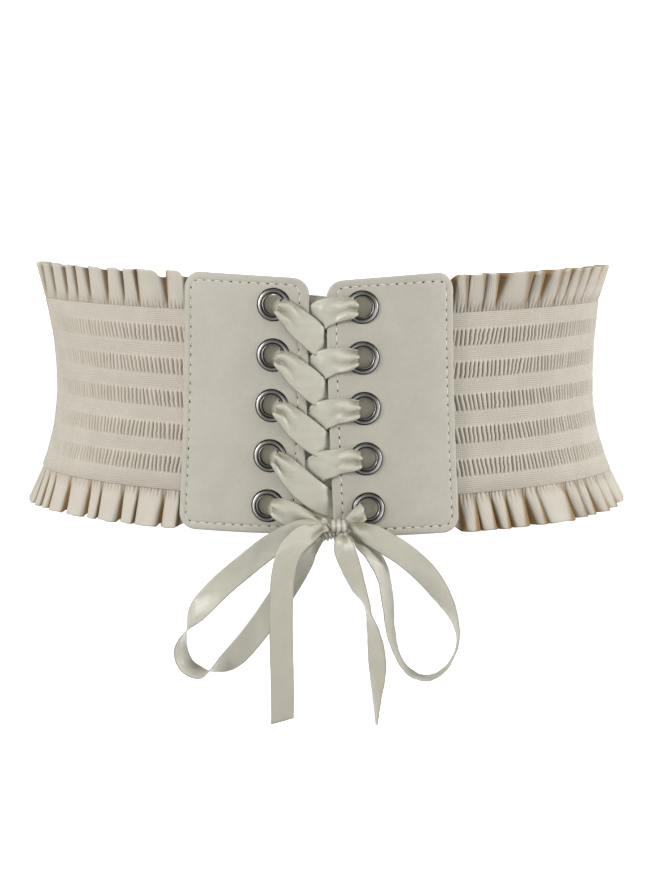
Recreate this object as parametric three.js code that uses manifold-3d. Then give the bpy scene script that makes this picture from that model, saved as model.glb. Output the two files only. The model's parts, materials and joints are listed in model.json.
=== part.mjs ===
// A laced corset belt in the form it has when worn: millimetres, +Z up, front towards -Y.
// The origin is the centre of the waist opening, at the height where the belt is narrowest.

import * as THREE from 'three';
import Module from 'manifold-3d';
import { mergeVertices } from 'three/addons/utils/BufferGeometryUtils.js';

const wasm = await Module();
wasm.setup();

// Driving dimensions
const waistHalfWidth = 136.5;
const waistHalfDepth = 98.6;
const sideRise = 5.2;
const backDrop = 16.5;
const bandHeight = 87.9;
const bandCentre = 1.25;
const topRuffleHeight = 18;
const bottomRuffleHeight = 18;
const fit = 0.3;

// Elastic band
const elasticStandOff = 0.4;
const elasticWall = 2;
const stripeRise = 0.7;
const stripeHeight = 7.6;
const stripePitch = 15.8;
const stripeCount = 5;
const elasticColumns = 22;

// Ruffles
const ruffleWall = 1.2;
const foldDepth = 6.5;
const foldsPerHalf = 22;
const hemUnderPanel = 0.86;

// Front panels
const panelHeight = 121.4;
const panelWall = 2;
const leftPanelCentre = 0.5;
const rightPanelCentre = -0.8;
const innerCornerRadius = 7.5;
const outerCornerRadius = 8;
const innerMargin = 16.9;
const outerMargin = 43.5;
const panelOverlap = 6;

// Eyelets
const eyeletRows = 5;
const eyeletPitchShare = 0.1952;
const eyeletSpreadTop = 21;
const eyeletSpreadBottom = 24.05;
const eyeletSpreadCurve = 1.6;
const eyeletBore = 4.75;
const barrelWall = 0.5;
const flangeRadius = 8;
const flangeRise = 1.2;
const washerRadius = 7;
const washerWall = 0.4;

// Backing behind the lacing
const backingWall = 1;
const backingTop = 50.5;
const backingBottom = -56;
const backingReach = 31;
const backingMargin = 4;

// Ribbon
const ribbonWidth = 11;
const ribbonWall = 0.5;
const laceSpace = 1.4;

// Back closure
const closureWidth = 18;
const closureWall = 1.5;

// Corners of a turned circle
const roundSides = 12;

// Heights and layers that follow from the sizes above
const topSeam = bandCentre + bandHeight / 2;
const bottomSeam = bandCentre - bandHeight / 2;
const elasticFace = elasticStandOff + elasticWall + stripeRise;
const panelBack = Math.max(elasticFace + fit, backingWall + laceSpace + washerWall + 2 * fit);
const panelFace = panelBack + panelWall;
const flangeTop = panelFace + fit + flangeRise;
const eyeletPitch = eyeletPitchShare * panelHeight;
const holeRadius = eyeletBore + barrelWall + fit;

// Outward flare of the form, as shares of waistHalfWidth, at the seams and hems
const flare = {
  bottomHem: { left: 0.068, right: 0.091, front: 0, back: 0.04 },
  bottomSeam: { left: 0.06, right: 0.069, front: 0, back: 0.03 },
  topSeam: { left: 0.044, right: 0.023, front: 0, back: 0.02 },
  topHem: { left: 0.038, right: 0.028, front: 0, back: 0.03 },
};

// Folds of the ruffles, repeated along each ruffle: how wide, deep and long a fold is against the middle one
const folds = [
  { width: 1.0, depth: 1.0, length: 1.0 },
  { width: 0.8, depth: 0.75, length: 0.97 },
  { width: 1.25, depth: 1.05, length: 1.02 },
  { width: 0.9, depth: 0.85, length: 1.0 },
  { width: 1.15, depth: 1.0, length: 0.98 },
  { width: 0.75, depth: 0.7, length: 1.01 },
  { width: 1.15, depth: 1.1, length: 1.0 },
];

// One fold from crease to crease: share of its width and share of its depth
const foldShape = [
  { along: 0, out: 0 },
  { along: 0.2, out: 0.8 },
  { along: 0.5, out: 1 },
  { along: 0.82, out: 0.75 },
];

// Lacing strands, from the hole they come up through to the next hole. out and across are in millimetres:
// from names the line that across is measured from, towards the other panel, and out stands off the layer named by over.
const laceFromLeft = [
  { from: 'eyelet', across: 2.9, down: -1, over: 'panel', out: -0.7, width: 0.54, lean: 25 },
  { from: 'eyelet', across: 2.9, down: -1, over: 'flange', out: -0.3, width: 0.54, lean: 25 },
  { from: 'eyelet', across: 4.0, down: -1.7, over: 'flange', out: 0.75, width: 0.6, lean: 28 },
  { from: 'eyelet', across: 6.4, down: -3.4, over: 'flange', out: 0.85, width: 0.78, lean: 34 },
  { from: 'eyelet', across: 9.6, down: -5.8, over: 'flange', out: 0.2, width: 0.94, lean: 36 },
  { from: 'eyelet', across: 12.8, down: -8.2, over: 'panel', out: 0.85, width: 1, lean: 36 },
  { from: 'edge', across: -0.5, down: -10.8, over: 'panel', out: 0.7, width: 1, lean: 36 },
  { from: 'gap', across: 0, down: -14.6, over: 'panel', out: 0.5, width: 1.04, lean: 22 },
  { from: 'far', across: -0.9, down: -17.4, over: 'back', out: -0.75, width: 1.14, lean: 4 },
  { from: 'far', across: 3, down: -18.9, over: 'back', out: -1.1, width: 0.98, lean: 8 },
  { from: 'farEyelet', across: -9, down: -21.4, over: 'back', out: -1.3, width: 0.75, lean: 10 },
  { from: 'farEyelet', across: -4.8, down: -24.2, over: 'back', out: -1.4, width: 0.54, lean: 6 },
  { from: 'farEyelet', across: -3.4, down: -24.8, over: 'back', out: -1.3, width: 0.48, lean: 2 },
  { from: 'farEyelet', across: -3, down: -24.9, over: 'back', out: -0.6, width: 0.48, lean: 0 },
  { from: 'farEyelet', across: -3, down: -24.9, over: 'back', out: 0.7, width: 0.48, lean: 0 },
];
const laceFromRight = [
  { from: 'eyelet', across: 3.0, down: -0.2, over: 'panel', out: -0.7, width: 0.54, lean: 0 },
  { from: 'eyelet', across: 3.0, down: -0.2, over: 'flange', out: -0.3, width: 0.54, lean: 0 },
  { from: 'eyelet', across: 4.1, down: -0.3, over: 'flange', out: 0.75, width: 0.6, lean: 0 },
  { from: 'eyelet', across: 6.5, down: -0.5, over: 'flange', out: 0.85, width: 0.78, lean: 2 },
  { from: 'eyelet', across: 9.6, down: -0.8, over: 'flange', out: 0.2, width: 0.94, lean: 3 },
  { from: 'eyelet', across: 12.8, down: -1.1, over: 'panel', out: 0.85, width: 1, lean: 4 },
  { from: 'edge', across: -0.5, down: -1.4, over: 'panel', out: 0.7, width: 1, lean: 8 },
  { from: 'gap', across: -2.4, down: -1.8, over: 'panel', out: 0.4, width: 0.95, lean: 8 },
  { from: 'gap', across: 0.6, down: -3.6, over: 'back', out: 0.5, width: 0.98, lean: 8 },
  { from: 'far', across: -0.9, down: -7.4, over: 'back', out: -0.75, width: 1.12, lean: 6 },
  { from: 'far', across: 2.6, down: -11, over: 'back', out: -0.85, width: 1, lean: 22 },
  { from: 'farEyelet', across: -8.5, down: -17.6, over: 'back', out: -1.1, width: 0.72, lean: 34 },
  { from: 'farEyelet', across: -4.8, down: -21.8, over: 'back', out: -1.4, width: 0.52, lean: 16 },
  { from: 'farEyelet', across: -3.4, down: -22.3, over: 'back', out: -1.3, width: 0.48, lean: 4 },
  { from: 'farEyelet', across: -3, down: -22.4, over: 'back', out: -0.6, width: 0.48, lean: 0 },
  { from: 'farEyelet', across: -3, down: -22.4, over: 'back', out: 0.7, width: 0.48, lean: 0 },
];
// The last strands run to the knot
const lastFromLeft = [
  { from: 'eyelet', across: 2.9, down: -0.4, over: 'panel', out: -0.7, width: 0.54, lean: 8 },
  { from: 'eyelet', across: 2.9, down: -0.4, over: 'flange', out: -0.3, width: 0.54, lean: 8 },
  { from: 'eyelet', across: 4.0, down: -0.8, over: 'flange', out: 0.75, width: 0.62, lean: 10 },
  { from: 'eyelet', across: 6.4, down: -1.6, over: 'flange', out: 0.95, width: 0.82, lean: 16 },
  { from: 'eyelet', across: 10.5, down: -3.5, over: 'flange', out: 0.5, width: 0.92, lean: 22 },
  { from: 'eyelet', across: 16, down: -5.6, over: 'panel', out: 1.4, width: 0.75, lean: 20 },
  { from: 'gap', across: -2, down: -7.2, over: 'panel', out: 1.7, width: 0.5, lean: 12 },
  { from: 'gap', across: 4.4, down: -7.9, over: 'panel', out: 3, width: 0.36, lean: 6 },
];
const lastFromRight = [
  { from: 'eyelet', across: 2.6, down: -0.9, over: 'panel', out: -0.7, width: 0.5, lean: 20 },
  { from: 'eyelet', across: 2.6, down: -0.9, over: 'flange', out: -0.3, width: 0.52, lean: 20 },
  { from: 'eyelet', across: 3.6, down: -1.7, over: 'flange', out: 0.75, width: 0.56, lean: 32 },
  { from: 'eyelet', across: 5.8, down: -3.4, over: 'flange', out: 1.1, width: 0.56, lean: 40 },
  { from: 'eyelet', across: 8.4, down: -5.0, over: 'flange', out: 1.4, width: 0.42, lean: 42 },
  { from: 'eyelet', across: 9.6, down: -5.7, over: 'flange', out: 1.6, width: 0.34, lean: 42 },
];

// The bow's free ribbons, chosen by hand: x, y, z and the turn of the ribbon about its run, in degrees
const knotPlace = { x: 9.9, y: -110.2, z: -54.9 };
const knotSize = { width: 8.4, depth: 7.6, height: 6.4 };
const loopLeft = [
  [5.3, -111.8, -54.2, 60],
  [-1.5, -112.3, -55.4, 30],
  [-10.5, -112.5, -58.6, 8],
  [-22, -112.5, -64.6, 0],
  [-33.5, -112.6, -73.6, 0],
  [-45.5, -113, -83.8, 8],
  [-55.5, -113.5, -94.6, 35],
  [-61.4, -114, -104, 88],
  [-64.4, -114, -113, 122],
  [-61.8, -113.6, -121.5, 124],
  [-55, -113.2, -125.6, 116],
  [-47.6, -113, -124.4, 92],
  [-38.5, -112.8, -119, 50],
  [-28.5, -112.6, -107, 14],
  [-19.5, -112.6, -93, 0],
  [-11, -112.4, -79, 18],
  [-3.4, -111.8, -66.6, 40],
  [2.8, -110.6, -60.2, 60],
];
const loopRight = [
  [14.5, -111.8, -54.8, 40],
  [21.5, -112.4, -57.4, 8],
  [30.5, -112.6, -62, 0],
  [41, -112.6, -68.6, 0],
  [51, -112.8, -77.6, 12],
  [59, -113.2, -88.6, 42],
  [64.4, -113.6, -99.8, 72],
  [65.6, -113.8, -110, 90],
  [61, -113.8, -120.8, 102],
  [52, -113.6, -126.6, 104],
  [43.2, -113.4, -124.2, 102],
  [37.4, -113.2, -115.6, 96],
  [34.4, -113, -104, 76],
  [33, -112.8, -91, 58],
  [31.4, -112.6, -80.5, 55],
  [28.6, -112.4, -73, 55],
  [24.6, -111.8, -67.2, 60],
  [19.6, -111.2, -62.8, 62],
  [14.8, -110.6, -58.8, 62],
];
const tailLeft = [
  [4.8, -114.6, -55, 62],
  [-2, -116.2, -57, 34],
  [-8.6, -117.6, -61, 14],
  [-13.4, -118.4, -68, 4],
  [-15.9, -118.6, -79, 0],
  [-16.7, -118.4, -95, 0],
  [-16.6, -118, -112, -6],
  [-16.2, -117.8, -129, 4],
  [-16.2, -117.6, -146.6, 10],
];
const tailRight = [
  [10.2, -113.4, -58.2, 20],
  [12, -117, -63, 20],
  [14.2, -118.4, -69, 24],
  [17, -118, -77, 36],
  [20.8, -116.6, -87, 58],
  [23.6, -114.2, -94, 76],
  [26.2, -114, -104, 58],
  [27.8, -113.8, -115, 42],
  [28.2, -113.6, -125, 48],
  [27.9, -113.6, -137, 70],
  [27.6, -113.6, -148, 84],
];

// The girth is measured along the ellipse of the panels' outer face
const arcSteps = 1440;
const arcTable = [];
const facePoint = (turn) =>
  new THREE.Vector2(
    (waistHalfWidth + panelFace) * Math.sin(turn),
    (waistHalfDepth + panelFace) * Math.cos(turn),
  );
for (let i = 0, length = 0; i <= arcSteps; i += 1) {
  const turn = (i / arcSteps) * Math.PI;
  if (i > 0) length += facePoint(turn).distanceTo(facePoint(turn - Math.PI / arcSteps));
  arcTable.push({ turn, length });
}
const halfGirth = arcTable[arcSteps].length;

// Turns a distance from the front centre along the girth, + to the right, into the angle on the ellipse
function turnAt(along) {
  const length = Math.min(Math.abs(along), halfGirth);
  let low = 0;
  let high = arcSteps;
  while (high - low > 1) {
    const middle = (low + high) >> 1;
    if (arcTable[middle].length > length) high = middle;
    else low = middle;
  }
  const share = (length - arcTable[low].length) / (arcTable[high].length - arcTable[low].length);
  const turn = arcTable[low].turn + share * (arcTable[high].turn - arcTable[low].turn);
  return along < 0 ? -turn : turn;
}

// Flare at a height for one side of the table, curved inside the band and straight over the ruffles
function flareAt(height, side) {
  if (height > topSeam) {
    const share = (height - topSeam) / topRuffleHeight;
    return THREE.MathUtils.lerp(flare.topSeam[side], flare.topHem[side], share) * waistHalfWidth;
  }
  if (height < bottomSeam) {
    const share = (bottomSeam - height) / bottomRuffleHeight;
    return THREE.MathUtils.lerp(flare.bottomSeam[side], flare.bottomHem[side], share) * waistHalfWidth;
  }
  const seam = height > 0 ? topSeam : bottomSeam;
  const most = height > 0 ? flare.topSeam[side] : flare.bottomSeam[side];
  return most * (height / seam) ** 2 * waistHalfWidth;
}

// A point of the form: distance along the girth, height at the front and stand-off from the inner face
function place(along, height, out) {
  const turn = turnAt(along);
  const sideShare = Math.sin(turn) ** 4;
  const end = Math.cos(turn) > 0 ? 'front' : 'back';
  const side = turn < 0 ? 'left' : 'right';
  const spread = THREE.MathUtils.lerp(flareAt(height, end), flareAt(height, side), sideShare) + out;
  const normal = new THREE.Vector2(Math.sin(turn) / waistHalfWidth, -Math.cos(turn) / waistHalfDepth).normalize();
  const drop = end === 'front' ? sideRise : sideRise + backDrop;
  return new THREE.Vector3(
    waistHalfWidth * Math.sin(turn) + normal.x * spread,
    -waistHalfDepth * Math.cos(turn) + normal.y * spread,
    height + sideRise - drop * Math.cos(turn) ** 2,
  );
}

// A closed solid through a row of sections, each with the same count of points. outline is the section's flat shape,
// counterclockwise when it is seen against the run, and only tells how the two ends are filled.
function loft(sections, outline) {
  const count = outline.length;
  const positions = sections.flat().flatMap((point) => [point.x, point.y, point.z]);
  const index = [];
  for (let k = 0; k + 1 < sections.length; k += 1) {
    for (let i = 0; i < count; i += 1) {
      const a = k * count + i;
      const b = k * count + ((i + 1) % count);
      index.push(a, a + count, b + count, a, b + count, b);
    }
  }
  const last = (sections.length - 1) * count;
  for (const [a, b, c] of THREE.ShapeUtils.triangulateShape(outline, [])) {
    index.push(a, b, c, last + a, last + c, last + b);
  }
  const geometry = new THREE.BufferGeometry();
  geometry.setAttribute('position', new THREE.Float32BufferAttribute(positions, 3));
  geometry.setIndex(index);
  return geometry;
}

function toSolid(geometry) {
  const bare = geometry.clone();
  bare.deleteAttribute('normal');
  bare.deleteAttribute('uv');
  const merged = mergeVertices(bare, 1e-4);
  return new wasm.Manifold(
    new wasm.Mesh({
      numProp: 3,
      vertProperties: new Float32Array(merged.attributes.position.array),
      triVerts: new Uint32Array(merged.index.array),
    }),
  );
}

function toGeometry(solid) {
  const mesh = solid.getMesh();
  const geometry = new THREE.BufferGeometry();
  geometry.setAttribute('position', new THREE.BufferAttribute(mesh.vertProperties, 3));
  geometry.setIndex(new THREE.BufferAttribute(mesh.triVerts, 1));
  return geometry;
}

// Materials, one for each kind of surface
const finishes = {
  elastic: { color: 0xcfc7b8, roughness: 0.9, metalness: 0 },
  ruffle: { color: 0xd2c8b6, roughness: 0.9, metalness: 0 },
  leather: { color: 0xc3bdae, roughness: 0.6, metalness: 0 },
  metal: { color: 0x4a4645, roughness: 0.3, metalness: 1 },
  ribbon: { color: 0xc9c8bb, roughness: 0.45, metalness: 0 },
};

const belt = new THREE.Group();

function addPiece(name, geometry, finish) {
  geometry.computeVertexNormals();
  const mesh = new THREE.Mesh(geometry, new THREE.MeshStandardMaterial(finishes[finish]));
  mesh.name = name;
  belt.add(mesh);
  return mesh;
}

const sides = [
  { name: 'left', sign: -1, centre: leftPanelCentre },
  { name: 'right', sign: 1, centre: rightPanelCentre },
];

// Half the distance between the two rows of eyelets at a height above the panels' centre
function eyeletSpread(height) {
  const share = THREE.MathUtils.clamp(0.5 - height / ((eyeletRows - 1) * eyeletPitch), 0, 1.1);
  return eyeletSpreadTop + (eyeletSpreadBottom - eyeletSpreadTop) * share ** eyeletSpreadCurve;
}

const rowHeight = (row) => ((eyeletRows - 1) / 2 - row) * eyeletPitch;
const bandStart = eyeletSpread(panelHeight / 2) + outerMargin - panelOverlap;
const bandEnd = halfGirth - fit / 2;

// Elastic band

// Section of the band: out and up, with the stripes standing proud of the outer face
function bandOutline() {
  const inner = elasticStandOff;
  const plain = elasticStandOff + elasticWall;
  const points = [[inner, bottomSeam], [plain, bottomSeam]];
  for (let i = 0; i < stripeCount; i += 1) {
    const middle = bandCentre + (i - (stripeCount - 1) / 2) * stripePitch;
    const half = stripeHeight / 2;
    points.push([plain, middle - half], [plain + stripeRise, middle - half + stripeRise]);
    points.push([plain + stripeRise, middle + half - stripeRise], [plain, middle + half]);
  }
  points.push([plain, topSeam], [inner, topSeam], [inner, bandCentre]);
  return points.map(([out, up]) => new THREE.Vector2(out, up));
}

function makeElastic(side) {
  const outline = bandOutline();
  const sections = [];
  for (let i = 0; i <= elasticColumns; i += 1) {
    const share = side.sign > 0 ? i / elasticColumns : 1 - i / elasticColumns;
    const along = side.sign * THREE.MathUtils.lerp(bandStart, bandEnd, share);
    sections.push(outline.map((point) => place(along, point.y, point.x)));
  }
  addPiece(`elastic_${side.name}`, loft(sections, outline), 'elastic');
}

// Ruffles

// Corners of the folded strip along the girth: distance along, depth share and length share
function foldRun(edgeHeight) {
  const panelEdge = eyeletSpread(edgeHeight) + outerMargin + fit;
  const used = Array.from({ length: foldsPerHalf }, (_, i) => folds[i % folds.length]);
  const total = used.reduce((sum, fold) => sum + fold.width, 0);
  const unit = (bandEnd - panelEdge) / total;
  const run = [{ along: bandStart, out: 0, length: hemUnderPanel }];
  let start = panelEdge;
  for (const fold of used) {
    const width = fold.width * unit;
    for (const corner of foldShape) {
      const nearPanel = THREE.MathUtils.clamp((start - panelEdge) / (2 * unit), 0, 1);
      run.push({
        along: start + corner.along * width,
        out: corner.out * fold.depth,
        length: THREE.MathUtils.lerp(hemUnderPanel, 1, nearPanel) * fold.length,
      });
    }
    start += width;
  }
  run.push({ along: bandEnd, out: 0, length: 1 });
  return run;
}

// Rows from seam to hem: share of the height and share of the fold's depth
const ruffleRows = [
  { height: 0, depth: 0.12 },
  { height: 0.35, depth: 0.6 },
  { height: 1, depth: 1 },
];

// The strip's two faces in one row, moved apart along the fold's own direction
function ruffleFaces(run, depth) {
  const middle = (elasticStandOff + elasticFace) / 2;
  const line = run.map((corner) => new THREE.Vector2(corner.along, middle + corner.out * depth * foldDepth));
  return line.map((point, i) => {
    const before = line[Math.max(i - 1, 0)];
    const after = line[Math.min(i + 1, line.length - 1)];
    const direction = after.clone().sub(before).normalize();
    const shift = new THREE.Vector2(-direction.y, direction.x).multiplyScalar(ruffleWall / 2);
    return { outer: point.clone().add(shift), inner: point.clone().sub(shift) };
  });
}

function makeRuffle(side, edge) {
  const up = edge === 'top' ? 1 : -1;
  const run = foldRun((up * panelHeight) / 2);
  const seam = edge === 'top' ? topSeam + fit : bottomSeam - fit;
  const height = (edge === 'top' ? topRuffleHeight : bottomRuffleHeight) - fit;
  const faces = ruffleRows.map((row) => ruffleFaces(run, row.depth));
  const rows = [...ruffleRows.keys()];
  const sections = run.map((corner, i) => {
    const at = (j, face) => {
      const point = faces[j][i][face];
      return place(side.sign * point.x, seam + up * ruffleRows[j].height * height * corner.length, point.y);
    };
    return [...rows.map((j) => at(j, 'outer')), ...rows.toReversed().map((j) => at(j, 'inner'))];
  });
  const outline = [
    ...ruffleRows.map((row) => new THREE.Vector2(1, row.height * up)),
    ...ruffleRows.toReversed().map((row) => new THREE.Vector2(0, row.height * up)),
  ];
  if (up < 0) {
    outline.reverse();
    sections.forEach((section) => section.reverse());
  }
  if (side.sign < 0) sections.reverse();
  addPiece(`${edge}_ruffle_${side.name}`, loft(sections, outline), 'ruffle');
}

// Front panels

const panelShares = [0, 0.015, 0.045, 0.09, 0.125, 0.27, 0.42, 0.57, 0.72, 0.87, 0.92, 0.96, 0.985, 1];
const panelLevels = [-1, -0.5, 0, 0.5, 1];

// Half the height that a rounded corner leaves at a distance from the panel's edge
function cornerHeight(distance, radius) {
  const inside = Math.max(radius - distance, 0);
  return panelHeight / 2 - radius + Math.sqrt(radius ** 2 - inside ** 2);
}

function makePanelBody(side) {
  const width = innerMargin + outerMargin;
  const shares = side.sign > 0 ? panelShares : panelShares.toReversed();
  const outline = [
    ...panelLevels.map((level) => new THREE.Vector2(panelFace, level)),
    ...panelLevels.toReversed().map((level) => new THREE.Vector2(panelBack, level)),
  ];
  const sections = shares.map((share) => {
    const fromInner = cornerHeight(share * width, innerCornerRadius);
    const fromOuter = cornerHeight((1 - share) * width, outerCornerRadius);
    const half = Math.min(fromInner, fromOuter);
    return outline.map((point) => {
      const height = point.y * half;
      const along = eyeletSpread(height) - innerMargin + share * width;
      return place(side.sign * along, side.centre + height, point.x);
    });
  });
  return toSolid(loft(sections, outline));
}

// Puts a turned shape, whose axis is +Y, on the panel with its axis outwards and its foot on the form's inner face
function ontoPanel(side, row) {
  const height = rowHeight(row);
  const along = side.sign * eyeletSpread(height);
  const foot = place(along, side.centre + height, 0);
  const outward = place(along, side.centre + height, 1).sub(foot).normalize();
  const turned = new THREE.Quaternion().setFromUnitVectors(new THREE.Vector3(0, 1, 0), outward);
  return { foot, turned };
}

function makePanel(side) {
  let body = makePanelBody(side);
  const reach = panelFace * 2;
  for (let row = 0; row < eyeletRows; row += 1) {
    const { foot, turned } = ontoPanel(side, row);
    const drill = new THREE.CylinderGeometry(holeRadius, holeRadius, reach, roundSides);
    drill.translate(0, reach / 2, 0).applyQuaternion(turned).translate(foot.x, foot.y, foot.z);
    body = body.subtract(toSolid(drill));
  }
  addPiece(`front_panel_${side.name}`, toGeometry(body), 'leather');
}

// Eyelets

function makeEyelet(side, row) {
  const barrel = eyeletBore + barrelWall;
  const seat = panelFace + fit;
  const washerFace = panelBack - fit;
  const profile = [
    [eyeletBore, washerFace - washerWall],
    [washerRadius, washerFace - washerWall],
    [washerRadius, washerFace],
    [barrel, washerFace],
    [barrel, seat],
    [flangeRadius, seat],
    [flangeRadius - flangeRise * 0.6, flangeTop - flangeRise * 0.2],
    [eyeletBore + flangeRise, flangeTop],
    [eyeletBore, seat],
    [eyeletBore, washerFace - washerWall],
  ].map(([radius, out]) => new THREE.Vector2(radius, out));
  const { foot, turned } = ontoPanel(side, row);
  const mesh = addPiece(`eyelet_${side.name}_${row + 1}`, new THREE.LatheGeometry(profile, roundSides), 'metal');
  mesh.position.copy(foot);
  mesh.quaternion.copy(turned);
}

// Backing

// A plain wall behind the gap, with a thicker margin that is sewn to the left panel
function makeBacking() {
  const steps = 12;
  const outline = [
    new THREE.Vector2(0, backingBottom),
    new THREE.Vector2(1, backingBottom),
    new THREE.Vector2(1, backingTop),
    new THREE.Vector2(0, backingTop),
  ];
  const sections = [];
  const addSection = (along, wall) => {
    sections.push(outline.map((point) => place(along, point.y, point.x * wall)));
  };
  addSection(-backingReach - backingMargin, panelBack - fit);
  addSection(-backingReach - fit, panelBack - fit);
  for (let i = 0; i <= steps; i += 1) {
    addSection(THREE.MathUtils.lerp(-backingReach, backingReach, i / steps), backingWall);
  }
  addPiece('lacing_backing', loft(sections, outline), 'leather');
}

// Ribbon

const ribbonOutline = [
  new THREE.Vector2(-1, -1),
  new THREE.Vector2(1, -1),
  new THREE.Vector2(1, 1),
  new THREE.Vector2(-1, 1),
];

// A flat band through points, each with the line that its two edges lie on and a width
function ribbonSolid(stations) {
  const sections = stations.map((station, i) => {
    const before = stations[Math.max(i - 1, 0)].point;
    const after = stations[Math.min(i + 1, stations.length - 1)].point;
    const run = after.clone().sub(before).normalize();
    const across = station.across;
    const face = run.clone().cross(across).normalize();
    return ribbonOutline.map((corner) =>
      station.point
        .clone()
        .addScaledVector(across, (corner.x * station.width) / 2)
        .addScaledVector(face, (-corner.y * ribbonWall) / 2),
    );
  });
  return loft(sections, ribbonOutline);
}

function laceStations(route, side, row) {
  const height = side.centre + rowHeight(row);
  const nextRow = Math.min(row + 1, eyeletRows - 1);
  const lines = {
    eyelet: -eyeletSpread(rowHeight(row)),
    edge: innerMargin - eyeletSpread(rowHeight(row)),
    gap: 0,
    far: eyeletSpread(rowHeight(nextRow)) - innerMargin,
    farEyelet: eyeletSpread(rowHeight(nextRow)),
  };
  const layers = { panel: panelFace, flange: flangeTop, back: panelBack };
  return route.map((stop) => {
    const along = -side.sign * (lines[stop.from] + stop.across);
    const out = layers[stop.over] + stop.out;
    const up = height + stop.down;
    const lean = THREE.MathUtils.degToRad(stop.lean);
    const girthwise = place(along + 0.5, up, out).sub(place(along - 0.5, up, out)).normalize();
    const across = girthwise.multiplyScalar(-side.sign * Math.sin(lean));
    across.z += Math.cos(lean);
    return { point: place(along, up, out), across: across.normalize(), width: stop.width * ribbonWidth };
  });
}

function makeLacing() {
  const [left, right] = sides;
  for (let row = 0; row + 1 < eyeletRows; row += 1) {
    addPiece(`lace_left_${row + 1}`, ribbonSolid(laceStations(laceFromLeft, left, row)), 'ribbon');
    addPiece(`lace_right_${row + 1}`, ribbonSolid(laceStations(laceFromRight, right, row)), 'ribbon');
  }
  const last = eyeletRows - 1;
  addPiece(`lace_left_${eyeletRows}`, ribbonSolid(laceStations(lastFromLeft, left, last)), 'ribbon');
  addPiece(`lace_right_${eyeletRows}`, ribbonSolid(laceStations(lastFromRight, right, last)), 'ribbon');
}

// The bar runs behind both panels from the first left eyelet to the first right one
function makeLaceBar() {
  const spread = eyeletSpread(rowHeight(0));
  const low = backingWall + fit + ribbonWall / 2;
  const half = [
    { across: 2.8, out: panelFace - 1.4, width: 0.5 },
    { across: 2.8, out: panelBack - 0.4, width: 0.5 },
    { across: 3.3, out: low + 0.4, width: 0.5 },
    { across: 5, out: low, width: 0.56 },
    { across: 9, out: low, width: 0.8 },
    { across: 15, out: low, width: 0.92 },
  ];
  const stops = [];
  half.forEach((stop) => stops.push({ ...stop, along: stop.across - spread, up: leftPanelCentre }));
  half.toReversed().forEach((stop) => stops.push({ ...stop, along: spread - stop.across, up: rightPanelCentre }));
  const stations = stops.map((stop) => ({
    point: place(stop.along, rowHeight(0) + stop.up - 0.4, stop.out),
    across: new THREE.Vector3(0, 0, 1),
    width: stop.width * ribbonWidth,
  }));
  addPiece('lace_bar', ribbonSolid(stations), 'ribbon');
}

// A free ribbon through its hand-chosen points, turned about its run
function makeFreeRibbon(name, route, steps, cutShare) {
  const path = new THREE.CatmullRomCurve3(route.map(([x, y, z]) => new THREE.Vector3(x, y, z)));
  const turns = new THREE.CatmullRomCurve3(route.map(([, , , turn], i) => new THREE.Vector3(turn, i, 0)));
  const towardsViewer = new THREE.Vector3(0, -1, 0);
  const stations = [];
  for (let i = 0; i <= steps; i += 1) {
    const share = i / steps;
    const run = path.getTangent(share);
    const flat = run.clone().cross(towardsViewer).normalize();
    const turn = THREE.MathUtils.degToRad(turns.getPoint(share).x);
    const width = i === steps ? ribbonWidth * cutShare : ribbonWidth;
    stations.push({ point: path.getPoint(share), across: flat.applyAxisAngle(run, turn), width });
  }
  addPiece(name, ribbonSolid(stations), 'ribbon');
}

function makeBow() {
  const knot = new THREE.SphereGeometry(0.5, roundSides, 8);
  const mesh = addPiece('bow_knot', knot, 'ribbon');
  knot.scale(knotSize.width, knotSize.depth, knotSize.height);
  mesh.position.set(knotPlace.x, knotPlace.y, knotPlace.z);
  makeFreeRibbon('bow_loop_left', loopLeft, 34, 1);
  makeFreeRibbon('bow_loop_right', loopRight, 34, 1);
  makeFreeRibbon('bow_tail_left', tailLeft, 14, 1);
  makeFreeRibbon('bow_tail_right', tailRight, 17, 0.5);
}

// Back closure

function makeClosure() {
  const steps = 3;
  const inner = elasticFace + fit;
  const levels = [-0.5, -0.17, 0.17, 0.5];
  const outline = [
    ...levels.map((level) => new THREE.Vector2(inner + closureWall, level)),
    ...levels.toReversed().map((level) => new THREE.Vector2(inner, level)),
  ];
  const section = (along) => outline.map((point) => place(along, bandCentre + point.y * bandHeight, point.x));
  const half = closureWidth / 2;
  const sections = [];
  for (let i = 0; i <= steps; i += 1) {
    const shift = THREE.MathUtils.lerp(-half, half, i / steps);
    sections.push(section(shift < 0 ? halfGirth + shift : shift - halfGirth));
  }
  addPiece('back_closure', loft(sections, outline), 'elastic');
}

for (const side of sides) {
  makeElastic(side);
  makeRuffle(side, 'top');
  makeRuffle(side, 'bottom');
  makePanel(side);
  for (let row = 0; row < eyeletRows; row += 1) makeEyelet(side, row);
}
makeBacking();
makeLaceBar();
makeLacing();
makeBow();
makeClosure();

export default belt;
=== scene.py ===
# A laced corset belt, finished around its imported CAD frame. Metres, +Z up, front towards -Y.
import json
import math

import bmesh
import bpy
import numpy as np
from mathutils import Matrix, Vector

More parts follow.
